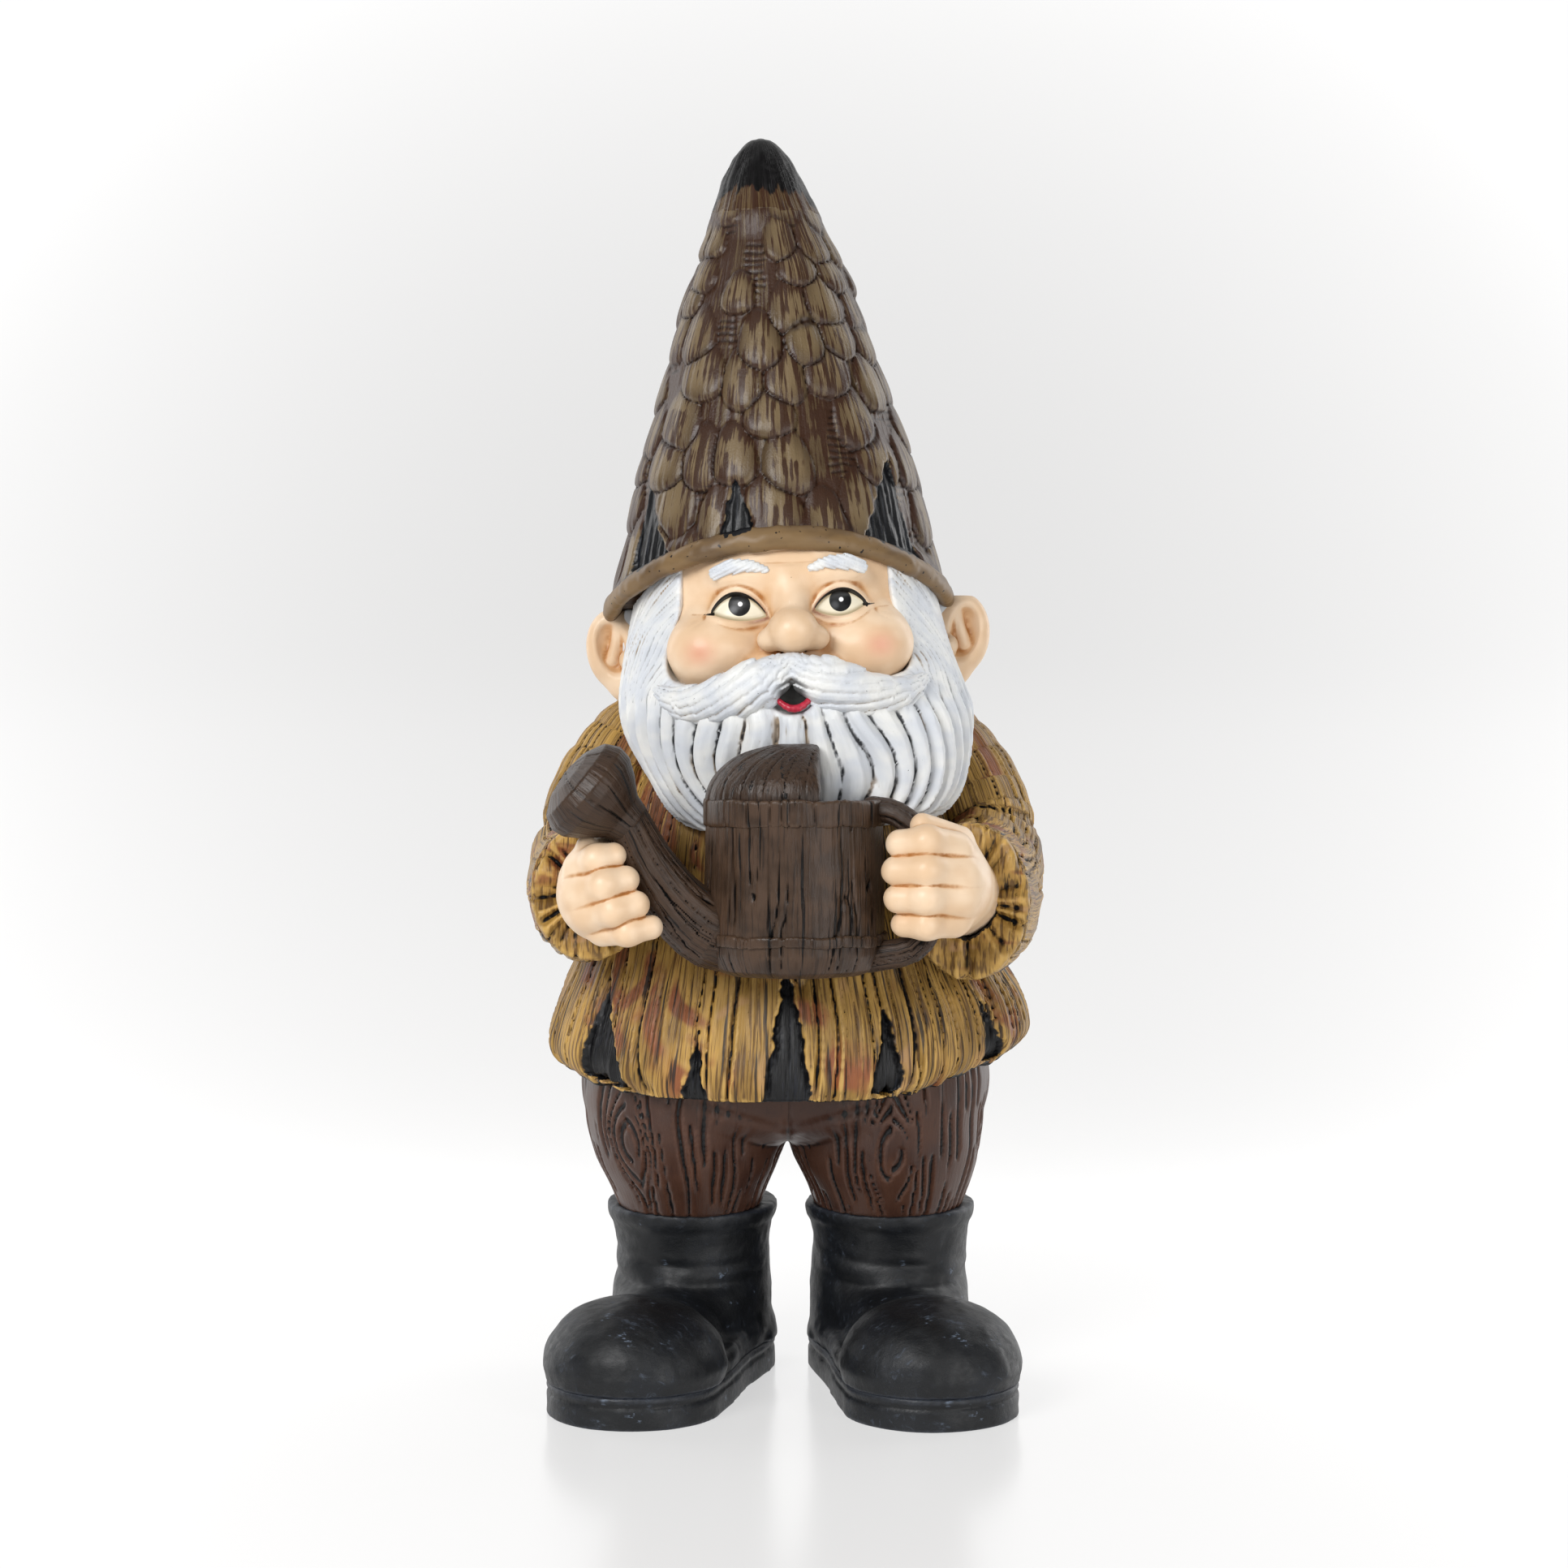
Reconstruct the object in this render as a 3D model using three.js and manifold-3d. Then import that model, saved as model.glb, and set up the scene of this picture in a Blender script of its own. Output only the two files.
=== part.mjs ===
// A standing garden gnome that holds a watering can, as the castings it is bonded together from.
//
// Units are millimetres, +Z is up, the figure faces -Y and stands on Z = 0. Left and right are the figure's
// own, so its left is +X. Every form function takes an extra thickness: a neighbour is trimmed by the same
// form made larger by the bond line, which leaves the two faces apart by that much and never overlapping.
// The forms are laid out round the line that the figure stands on, and the finished group is then moved so
// that its origin is the middle of the footprint of the whole.

import * as THREE from "three";
import { mergeVertices } from "three/addons/utils/BufferGeometryUtils.js";
import Module from "manifold-3d";

const wasm = await Module();
wasm.setup();

// ---------------------------------------------------------------- driving dimensions

const HEIGHT = 430; // floor to the tip of the hat
const BOND = 0.4; // bond line between neighbouring castings

const BRIM = { side: 271, frontRise: 22, backDrop: 8, sideTilt: 2.5, tall: 4.2, wide: 3 };
const HEAD = { x: 2, y: 1, roll: 2.7, pivot: 250 };
const FACE = { x: 2, front: -49, brow: 284, nose: 262, cheek: 257.5, mouth: 242 };
const JACKET = { hem: 109, hemFrontDrop: 4, hemRow: 112 };
const CAN = { x: 3.6, y: -68, radius: 30, foot: 150, rim: 207.5 };
const HOOPS = {
  upper: { z: 203.3, wide: 1.9, tall: 4.2, out: -0.4 },
  lower: { z: 162, wide: 1.5, tall: 2.2, out: 0.1 },
};
const BOOT = { soleThick: 11, top: 60, toe: -64.5, toeRadius: 29.5, heelRadius: 28.5 };
const STANCE = {
  right: { x: -31.5, y: 13, toeOut: -16 },
  left: { x: 37, y: 13, toeOut: 10.5 },
};

// Rows of [z, x, y, half width, half depth], from the foot of a casting to its top.
const HAT_ROWS = [
  [255, -1, 3, 61.5, 59.5],
  [271, -1.2, 3, 58.5, 57],
  [285, -1.4, 3, 55.4, 54],
  [300, -1.7, 3, 52.3, 51.3],
  [315, -2, 3, 48.9, 48.3],
  [340, -2.8, 3.4, 41.5, 41.2],
  [354, -3.3, 3.6, 37.5, 37.2],
  [372, -4, 4, 31.8, 31.6],
  [386, -4.6, 4.2, 26.9, 26.8],
  [405, -6.2, 4.5, 18.6, 18.6],
];
const TIP_ROWS = [
  [405.4, -6.2, 4.5, 18.9, 18.9],
  [414, -7, 4.6, 15.2, 15.2],
  [421, -7.4, 4.7, 11.8, 11.8],
  [426.5, -7.7, 4.7, 8.2, 8.2],
  [429.2, -7.8, 4.7, 4.4, 4.4],
  [HEIGHT, -7.8, 4.7, 0.8, 0.8],
];
const SKULL_ROWS = [
  [203, 0, 2, 30, 30],
  [212, 0, 1, 40, 39],
  [226, 0, 0, 47, 45],
  [242, 0, 0, 50, 48.5],
  [258, 0, 0, 51.5, 49.5],
  [274, 0, 0, 52, 50.5],
  [300, 0, 1, 50.5, 49],
];
const JACKET_ROWS = [
  [JACKET.hemRow, 1.5, 2, 78, 60],
  [115, 1.5, 2, 82, 63],
  [122, 1.5, 2, 82.5, 63.5],
  [134, 1, 3, 77.5, 60],
  [150, 1, 4, 70, 55],
  [170, 1, 5, 66, 52],
  [190, 1, 6, 64, 50],
  [208, 1, 7, 60, 46],
  [224, 1, 8, 53, 40],
  [236, 1, 8, 43, 34],
  [243, 1, 8, 33, 27],
];
const BEARD_ROWS = [
  [193.5, 2, -42, 17, 15],
  [197, 2, -38, 33, 24],
  [204, 2, -31, 45, 34],
  [216, 1.5, -24, 54, 42],
  [228, 1, -17, 60, 49.5],
  [240, 1, -12, 61.5, 53],
  [254, 1, -6, 60.5, 52.5],
  [270, 1.5, -3, 58, 51],
  [289, 2, 0, 54.5, 50],
];
const NAPE_ROWS = [
  [222, 0, 8, 44, 42],
  [232, 0, 6, 52, 48],
  [246, 0, 4, 56, 52],
  [260, 0, 3, 57, 53],
  [274, 0, 3, 55.5, 53],
];
const SEAT_ROWS = [
  [81, 1, 3, 24, 20],
  [86, 1, 4, 50, 33],
  [98, 1, 5, 66, 43],
  [124, 1, 5, 66, 44],
];
const LEG_ROWS = {
  right: [
    [58.5, -31.5, 9, 25, 27],
    [66, -31.8, 8, 28.5, 32],
    [78, -33.5, 7, 32.5, 39],
    [92, -34.5, 6, 34.6, 44],
    [108, -34, 5, 35, 46],
    [124, -33, 5, 33, 44],
  ],
  left: [
    [58.5, 35.5, 9, 26, 27],
    [66, 35.8, 8, 29, 32],
    [78, 36, 7, 32.5, 39],
    [92, 36, 6, 34, 44],
    [108, 36, 5, 34, 46],
    [124, 34, 5, 33, 44],
  ],
};
const SHAFT_ROWS = [
  [BOOT.soleThick, 0, -1, 26, 28],
  [22, 0, 0, 27.5, 30.5],
  [36, 0, 1, 26.5, 29],
  [47, 0, 1, 26, 28],
  [50, 0, 1, 27, 28.8],
  [53, 0, 1, 29.6, 31],
  [BOOT.top - 1.5, 0, 1, 29.4, 30.8],
  [BOOT.top, 0, 1, 28, 29.5],
];

// Rows of [x, y, z, half width across the arm, half height], from the shoulder to the cuff.
const SLEEVE_ROWS = {
  left: [
    [46, 10, 236, 9, 10],
    [56, 9, 226, 17, 18],
    [67, 6, 205, 21, 24],
    [71, 0, 184, 20, 27],
    [69, -18, 173, 20, 28],
    [65, -38, 171, 21, 27],
    [61, -55, 173, 20, 27],
  ],
  right: [
    [-44, 10, 236, 9, 10],
    [-54, 9, 226, 17, 18],
    [-65, 6, 205, 21, 24],
    [-69, 0, 184, 20, 27],
    [-68, -18, 173, 20, 28],
    [-66, -38, 171, 20, 26],
    [-64, -56, 174, 20, 25],
  ],
};
const SPOUT_ROWS = [
  [-12, -70, 158, 10, 10],
  [-24, -74, 163, 9.5, 9],
  [-34, -78, 174, 8.2, 7.8],
  [-43, -81, 188, 7, 7],
  [-51, -83, 202, 6.4, 6.4],
];
const HANDLE_ROWS = [
  [29, -74, 205, 4.6, 4],
  [37, -77, 203.5, 4.6, 4],
  [45, -80, 196, 4.5, 4.2],
  [48.5, -81, 183, 4.5, 4.2],
  [48, -81, 170, 4.6, 4.4],
  [42, -79, 160, 4.8, 4.6],
  [28, -75, 156.5, 5, 5],
];

// A fist is the back of the hand, four stacked fingers, a thumb, and a wrist that ends inside the cuff.
const FISTS = {
  left: {
    back: { at: [52, -75, 182], half: [12, 12, 17.5] },
    rods: [
      { from: [38.5, -88, 194.5], to: [55, -83, 193.5], radius: 5.2 },
      { from: [37.5, -90, 186], to: [56, -85, 185], radius: 5.5 },
      { from: [38, -90, 177], to: [56, -85, 176.5], radius: 5.4 },
      { from: [40, -88, 168.5], to: [54, -83, 168.5], radius: 5 },
      { from: [46, -82, 199], to: [57, -75, 195], radius: 4.4 },
      { from: [54, -76, 179], to: [59, -50, 174], radius: 14 },
    ],
  },
  right: {
    back: { at: [-58, -77, 179.5], half: [12, 12, 16.5] },
    rods: [
      { from: [-47.5, -89, 190.5], to: [-61, -83, 186.5], radius: 5.2 },
      { from: [-45, -91, 182.5], to: [-61, -85, 178.5], radius: 5.4 },
      { from: [-43, -91, 174.5], to: [-58, -85, 171.5], radius: 5.3 },
      { from: [-42, -89, 167], to: [-54, -83, 166], radius: 4.7 },
      { from: [-62, -81, 191], to: [-65.5, -75, 184], radius: 4.2 },
      { from: [-60, -77, 177], to: [-62, -50, 174], radius: 13.5 },
    ],
  },
};

// The rose's outline as [radius, distance along its axis], from the neck to the middle of its face.
const ROSE_PROFILE = [
  [0, -4],
  [7.6, -4],
  [9, 1],
  [13.5, 6],
  [16.8, 11],
  [17.2, 15],
  [14.8, 19.5],
  [9, 22.6],
  [0, 23.8],
];
const ROSE = { neck: [-52, -83, 202.5], axis: [-0.76, -0.1, 0.64] };

// ---------------------------------------------------------------- geometry helpers

const X = new THREE.Vector3(1, 0, 0);
const Y = new THREE.Vector3(0, 1, 0);

/** A closed three.js geometry as a manifold-3d solid, whichever way its faces were wound. */
function solidOf(geometry) {
  const bare = new THREE.BufferGeometry();
  bare.setAttribute("position", geometry.getAttribute("position"));
  bare.setIndex(geometry.getIndex());
  const merged = mergeVertices(bare, 1e-3);
  const corners = merged.index.array;
  const kept = [];
  for (let i = 0; i < corners.length; i += 3) {
    const [a, b, c] = corners.slice(i, i + 3);
    if (a !== b && b !== c && c !== a) kept.push(a, b, c);
  }
  const vertProperties = merged.attributes.position.array;
  const build = (order) =>
    new wasm.Manifold(new wasm.Mesh({ numProp: 3, vertProperties, triVerts: new Uint32Array(order) }));
  const made = build(kept);
  return made.volume() > 0 ? made : build(kept.reverse());
}

/** The same geometry with every vertex moved by a function of its place. */
function warped(geometry, move) {
  const place = geometry.getAttribute("position");
  for (let i = 0; i < place.count; i++) {
    const moved = move(new THREE.Vector3().fromBufferAttribute(place, i));
    place.setXYZ(i, moved.x, moved.y, moved.z);
  }
  return geometry;
}

/** A smooth curve through three columns of the rows, or through two where the third is left out. */
const curveOf = (rows, x, y, z) =>
  new THREE.CatmullRomCurve3(rows.map((row) => new THREE.Vector3(row[x], row[y], row[z] ?? 0)));

/** How far a point at parameter t is drawn out past an end. */
const pastEnd = (t, extra) => (t < 1e-6 ? -extra : t > 1 - 1e-6 ? extra : 0);

/** Elliptical sections stacked along Z and joined by a smooth skin. shape moves each finished point. */
function loft(rows, { segments, rings, extra = 0, shape = (p) => p }) {
  const centres = curveOf(rows, 1, 2, 0);
  const radii = curveOf(rows, 3, 4);
  const skin = new THREE.CylinderGeometry(1, 1, 1, segments, rings);
  const stacked = warped(skin, (p) => {
    const t = p.y + 0.5;
    const c = centres.getPoint(t);
    const r = radii.getPoint(t);
    const z = c.z + pastEnd(t, extra);
    return shape(new THREE.Vector3(c.x + p.x * (r.x + extra), c.y - p.z * (r.y + extra), z));
  });
  return solidOf(stacked);
}

/** A limb of elliptical section along a smooth path. across is the direction of its width. */
function limb(rows, { across, segments, rings, extra = 0 }) {
  const path = curveOf(rows, 0, 1, 2);
  const radii = curveOf(rows, 3, 4);
  const skin = new THREE.CylinderGeometry(1, 1, 1, segments, rings);
  const bent = warped(skin, (p) => {
    const t = p.y + 0.5;
    const along = path.getTangent(t);
    const wide = across.clone().addScaledVector(along, -across.dot(along)).normalize();
    const tall = wide.clone().cross(along);
    const r = radii.getPoint(t);
    return path
      .getPoint(t)
      .addScaledVector(along, pastEnd(t, extra))
      .addScaledVector(wide, p.x * (r.x + extra))
      .addScaledVector(tall, p.z * (r.y + extra));
  });
  return solidOf(bent);
}

/** A closed band round the Z axis. course(angle) gives its centre, and wide and tall are its half sizes. */
function band(course, { wide, tall, segments, extra = 0 }) {
  const tube = 0.25;
  const ring = new THREE.TorusGeometry(1, tube, 6, segments);
  const shaped = warped(ring, (p) => {
    const angle = Math.atan2(p.y, p.x);
    const out = ((Math.hypot(p.x, p.y) - 1) / tube) * (wide + extra);
    const c = course(angle);
    const z = c.z + (p.z / tube) * (tall + extra);
    return new THREE.Vector3(c.x + Math.cos(angle) * out, c.y + Math.sin(angle) * out, z);
  });
  return solidOf(shaped);
}

/** An ellipsoid with its centre, half sizes and a turn about Y, in degrees. */
function ball([x, y, z], [rx, ry, rz], { segments = 12, extra = 0, turn = 0 } = {}) {
  const sphere = new THREE.SphereGeometry(1, segments, Math.round(segments * 0.6));
  sphere.rotateX(Math.PI / 2);
  sphere.scale(rx + extra, ry + extra, rz + extra);
  sphere.rotateY(THREE.MathUtils.degToRad(turn));
  sphere.translate(x, y, z);
  return solidOf(sphere);
}

/** A round-ended bar between two points. */
function bar(from, to, radius, { segments = 7, extra = 0 } = {}) {
  const a = new THREE.Vector3(...from);
  const b = new THREE.Vector3(...to);
  const capsule = new THREE.CapsuleGeometry(radius + extra, a.distanceTo(b), 2, segments);
  const heading = b.clone().sub(a).normalize();
  capsule.applyQuaternion(new THREE.Quaternion().setFromUnitVectors(Y, heading));
  capsule.translate(...a.add(b).multiplyScalar(0.5).toArray());
  return solidOf(capsule);
}

function block([x0, y0, z0], [x1, y1, z1]) {
  const box = new THREE.BoxGeometry(x1 - x0, y1 - y0, z1 - z0);
  box.translate((x0 + x1) / 2, (y0 + y1) / 2, (z0 + z1) / 2);
  return solidOf(box);
}

const union = (first, ...rest) => rest.reduce((sum, next) => sum.add(next), first);
const cut = (body, ...tools) => tools.reduce((left, tool) => left.subtract(tool), body);

/** The face is tipped towards the right shoulder, so everything on the head turns about one pivot. */
function onHead(solid) {
  return solid
    .translate([0, 0, -HEAD.pivot])
    .rotate([0, -HEAD.roll, 0])
    .translate([HEAD.x, HEAD.y, HEAD.pivot]);
}

// ---------------------------------------------------------------- hat

const hatCentres = curveOf(HAT_ROWS, 1, 2, 0);
const hatRadii = curveOf(HAT_ROWS, 3, 4);

/** Centre and radii of the hat's section at a height. */
function hatSection(height) {
  const z = THREE.MathUtils.clamp(height, HAT_ROWS[0][0] + 1, HAT_ROWS.at(-1)[0] - 1);
  const row = HAT_ROWS.findIndex((next) => next[0] > z);
  const low = HAT_ROWS[row - 1][0];
  const t = (row - 1 + (z - low) / (HAT_ROWS[row][0] - low)) / (HAT_ROWS.length - 1);
  return { centre: hatCentres.getPoint(t), radii: hatRadii.getPoint(t) };
}

/** Height of the middle of the brim, which lifts over the face and drops behind the head. */
function brimHeight(angle) {
  const front = -Math.sin(angle);
  const lift = front > 0 ? BRIM.frontRise * front ** 1.3 : BRIM.backDrop * front;
  return BRIM.side + lift + BRIM.sideTilt * Math.cos(angle);
}

/** The hat's cone. Its lower sections bend to end on the brim, and flare widens it all round. */
function hatForm(extra = 0, flare = 0) {
  const bendFrom = 320;
  const foot = HAT_ROWS[0][0];
  return loft(HAT_ROWS, {
    segments: 24,
    rings: 7,
    extra,
    shape: (p) => {
      const { centre, radii } = hatSection(p.z);
      const angle = Math.atan2(p.y - centre.y, p.x - centre.x);
      const away = Math.hypot((p.x - centre.x) / radii.x, (p.y - centre.y) / radii.y);
      const reach = Math.max(0, (bendFrom - p.z) / (bendFrom - foot));
      const z = p.z + (brimHeight(angle) - foot) * reach;
      const bent = hatSection(z);
      const x = bent.centre.x + Math.cos(angle) * away * (bent.radii.x + flare);
      return new THREE.Vector3(x, bent.centre.y + Math.sin(angle) * away * (bent.radii.y + flare), z);
    },
  });
}

function brimForm(extra = 0) {
  const inward = 1.2;
  const course = (angle) => {
    const z = brimHeight(angle);
    const { centre, radii } = hatSection(z);
    const x = centre.x + Math.cos(angle) * (radii.x - inward);
    return { x, y: centre.y + Math.sin(angle) * (radii.y - inward), z };
  };
  return band(course, { wide: BRIM.wide, tall: BRIM.tall, segments: 24, extra });
}

const tipForm = () => loft(TIP_ROWS, { segments: 16, rings: 5 });

// ---------------------------------------------------------------- head and hair

function noseForm(extra = 0) {
  const { x, nose } = FACE;
  const wing = (side) => ball([x + side * 7.5, -53, nose - 2.5], [4.8, 6, 4.6], { segments: 8, extra });
  return union(
    ball([x, -57, nose], [8.6, 9, 8.2], { extra }),
    wing(-1),
    wing(1),
    bar([x, -51, nose + 3], [x - 0.5, -47.5, nose + 13], 4.6, { extra }),
  );
}

const cheekForm = (side, extra = 0) => ball([FACE.x + side * 26.5, -40.5, FACE.cheek], [17, 14, 14], { extra });

const skullForm = (extra = 0) => onHead(loft(SKULL_ROWS, { segments: 18, rings: 5, extra }));

const headForm = (extra = 0) =>
  union(skullForm(extra), onHead(union(noseForm(extra), cheekForm(-1, extra), cheekForm(1, extra))));

/** An ear: a thick disc with a lobe and a scooped bowl, standing out from the side of the head. */
function earForm(side, extra = 0) {
  const turn = side * 8;
  const shell = ball([side * 59.5, 6, 256.5], [10.5, 5.5, 14.5], { segments: 14, extra, turn });
  const lobe = ball([side * 55.5, 5, 244.5], [6, 4.5, 6.5], { segments: 8, extra });
  const bowl = ball([side * 60, -0.5, 258], [6.2, 4.2, 9.2], { segments: 8, turn });
  const ear = union(shell, lobe);
  return onHead(extra > 0 ? ear : cut(ear, bowl));
}

/** A brow: a small tapered roll of hair, arched over the eye. */
function browForm(side, extra = 0) {
  const x = FACE.x + side * 16;
  const rows = [
    [x - side * 8.5, FACE.front - 1.2, FACE.brow - 3, 1.3, 1.6],
    [x - side * 3, FACE.front - 1.8, FACE.brow, 1.8, 2.9],
    [x + side * 4, FACE.front - 0.4, FACE.brow + 0.3, 1.8, 2.6],
    [x + side * 9.5, FACE.front + 2.2, FACE.brow - 3, 1.2, 1],
  ];
  return onHead(limb(rows, { across: Y, segments: 6, rings: 4, extra }));
}

/** The lower lip, a small upturned crescent in the gap of the moustache. */
function lipForm(extra = 0) {
  const halfWidth = 6;
  const rows = [-1, -0.5, 0, 0.5, 1].map((u) => [
    FACE.x + halfWidth * u,
    -62.6,
    FACE.mouth - 3 + 2.6 * u * u,
    1.4,
    1.7 - 0.9 * u * u,
  ]);
  return onHead(limb(rows, { across: Y, segments: 6, rings: 5, extra }));
}

/** The moustache: two swept lobes that meet under the nose. */
function moustacheForm(extra = 0) {
  const lobe = (side) => {
    const rows = [
      [-1.5, -59.5, 12, 5, 3.2],
      [7, -61.5, 8.5, 6.4, 7.2],
      [18, -60.5, 2, 6.8, 8.2],
      [29, -55, -0.5, 6.4, 7.2],
      [38.5, -48.5, 3, 5.4, 5],
      [42.5, -43.5, 7.5, 3.4, 1.8],
    ].map(([x, y, z, wide, tall]) => [FACE.x + side * x, y, FACE.mouth + z, wide, tall]);
    return limb(rows, { across: Y, segments: 10, rings: 6, extra });
  };
  return onHead(union(lobe(-1), lobe(1)));
}

/** The opening in the beard that the face looks out of. */
function faceWindow() {
  const rows = [
    [243, FACE.x, -45, 24, 34],
    [246, FACE.x, -45, 34, 34],
    [254, FACE.x, -45, 40, 34],
    [270, FACE.x, -45, 39, 34],
    [300, FACE.x, -45, 38, 34],
  ];
  return onHead(loft(rows, { segments: 16, rings: 4 }));
}

const beardForm = (extra = 0) => onHead(loft(BEARD_ROWS, { segments: 24, rings: 7, extra }));

/** The hair at the nape, which covers the back of the head from ear to ear. */
const backHairForm = (extra = 0) => onHead(loft(NAPE_ROWS, { segments: 20, rings: 3, extra }));

// ---------------------------------------------------------------- jacket, sleeves and hands

/** The jacket, which hangs a little lower in front than at the sides. */
function jacketForm(extra = 0) {
  const drop = (p) => {
    const front = THREE.MathUtils.clamp((4 - p.y) / 62, 0, 1);
    const reach = Math.max(0, 1 - (p.z - JACKET.hemRow) / 45);
    p.z += (JACKET.hem - JACKET.hemRow - JACKET.hemFrontDrop * front ** 1.5) * reach;
    return p;
  };
  return loft(JACKET_ROWS, { segments: 24, rings: 9, extra, shape: drop });
}

const sleeveForm = (side, extra = 0) =>
  limb(SLEEVE_ROWS[side], { across: X, segments: 14, rings: 7, extra });

/** The recess in the end of a cuff, which the wrist goes into. */
function cuffRecess(side) {
  const depth = 13;
  const lip = 3.5;
  const [x, y, z, wide, tall] = SLEEVE_ROWS[side].at(-1);
  const rows = [depth, depth / 2, -6].map((in_) => [x, y + in_, z, wide - lip, tall - lip]);
  return limb(rows, { across: X, segments: 12, rings: 1 });
}

function fistForm(side, extra = 0) {
  const { back, rods } = FISTS[side];
  const bars = rods.map(({ from, to, radius }) => bar(from, to, radius, { extra }));
  return union(ball(back.at, back.half, { extra }), ...bars);
}

// ---------------------------------------------------------------- watering can

/** The can: an upright tub with a rounded foot. */
function canForm(extra = 0) {
  const rows = [
    [0, 0.74],
    [2, 0.89],
    [7, 0.98],
    [20, 0.985],
    [CAN.rim - CAN.foot, 0.96],
  ].map(([up, share]) => [CAN.foot + up, CAN.x, CAN.y, CAN.radius * share, CAN.radius * share]);
  return loft(rows, { segments: 20, rings: 4, extra });
}

function hoopForm(place, extra = 0) {
  const { z, wide, tall, out } = HOOPS[place];
  const radius = CAN.radius + out;
  const course = (angle) => ({ x: CAN.x + Math.cos(angle) * radius, y: CAN.y + Math.sin(angle) * radius, z });
  return band(course, { wide, tall, segments: 20, extra });
}

/** The half cover over the spout side of the can's mouth, cut straight across. */
function hoodForm(extra = 0) {
  const tall = 18;
  const dome = ball([CAN.x, CAN.y, CAN.rim], [28.6, 27, tall], { segments: 18, extra });
  const cutFace = CAN.x + 8 + extra;
  return dome.intersect(block([-60, -120, CAN.rim + BOND - extra], [cutFace, -20, CAN.rim + 2 * tall]));
}

const spoutForm = (extra = 0) =>
  limb(SPOUT_ROWS, { across: new THREE.Vector3(0.7, 0, 0.7), segments: 12, rings: 5, extra });

/** The rose: a flare with a domed face, on the end of the spout. */
function roseForm(extra = 0) {
  const widest = 12;
  const profile = ROSE_PROFILE.map(
    ([r, along]) => new THREE.Vector2(r > 0 ? r + extra : 0, along + (along > widest ? extra : -extra)),
  );
  const flare = new THREE.LatheGeometry(profile, 16);
  const axis = new THREE.Vector3(...ROSE.axis).normalize();
  flare.applyQuaternion(new THREE.Quaternion().setFromUnitVectors(Y, axis));
  flare.translate(...ROSE.neck);
  return solidOf(flare);
}

/** The can's handle, a D-shaped bow from the rim to the foot, held in the left fist. */
const handleForm = (extra = 0) => limb(HANDLE_ROWS, { across: Y, segments: 8, rings: 10, extra });

// ---------------------------------------------------------------- trousers and boots

function trousersForm(extra = 0) {
  const leg = (side) => loft(LEG_ROWS[side], { segments: 18, rings: 5, extra });
  return union(loft(SEAT_ROWS, { segments: 18, rings: 3, extra }), leg("right"), leg("left"));
}

/** Places a boot: in its own frame the shaft stands on the origin and the toe points along -Y. */
function inStance(side, solid) {
  const { x, y, toeOut } = STANCE[side];
  return solid.rotate([0, 0, toeOut]).translate([x, y, 0]);
}

/** A boot without its sole: shaft with a rolled top edge, instep and bulbous toe. */
function bootForm(side) {
  const shaft = loft(SHAFT_ROWS, { segments: 18, rings: 8 });
  const instepRows = [
    [0, 4, 27, 24.5, 15],
    [0, -24, 23, 22, 13.5],
    [0, BOOT.toe + 6, 18, 20, 11],
  ];
  const instep = limb(instepRows, { across: X, segments: 12, rings: 2 });
  const toe = ball([0, BOOT.toe, 18], [BOOT.toeRadius, BOOT.toeRadius - 0.5, 21.5], { segments: 18 });
  const aboveSole = block([-60, -110, BOOT.soleThick], [60, 60, BOOT.top + 10]);
  return inStance(side, union(shaft, instep, toe).intersect(aboveSole));
}

/** A sole: a slab whose outline is a heel arc and a toe arc, with its edges eased. */
function soleForm(side) {
  const ease = 1;
  const overlap = 0.12;
  const outline = new THREE.Shape();
  outline.absarc(0, 3, BOOT.heelRadius, overlap, Math.PI - overlap, false);
  outline.absarc(0, BOOT.toe, BOOT.toeRadius, Math.PI - overlap, 2 * Math.PI + overlap, false);
  const slab = new THREE.ExtrudeGeometry(outline, {
    depth: BOOT.soleThick - BOND - 2 * ease,
    bevelThickness: ease,
    bevelSize: ease,
    bevelOffset: -ease,
    bevelSegments: 1,
    curveSegments: 8,
  });
  slab.translate(0, 0, ease);
  return inStance(side, solidOf(slab));
}

// ---------------------------------------------------------------- the castings

const ACROSS = 120;
const EAR_LINE = 2;
const behindEars = block([-ACROSS, EAR_LINE, 0], [ACROSS, ACROSS, HEIGHT]);
const beforeEars = block([-ACROSS, -ACROSS, 0], [ACROSS, EAR_LINE + BOND, HEIGHT]);
const hatClearance = () => union(hatForm(BOND, 12), hatForm(BOND), brimForm(BOND));
const hoops = (extra) => [hoopForm("upper", extra), hoopForm("lower", extra)];
const canSet = (extra) => [
  canForm(extra),
  ...hoops(extra),
  hoodForm(extra),
  spoutForm(extra),
  roseForm(extra),
  handleForm(extra),
];

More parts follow.
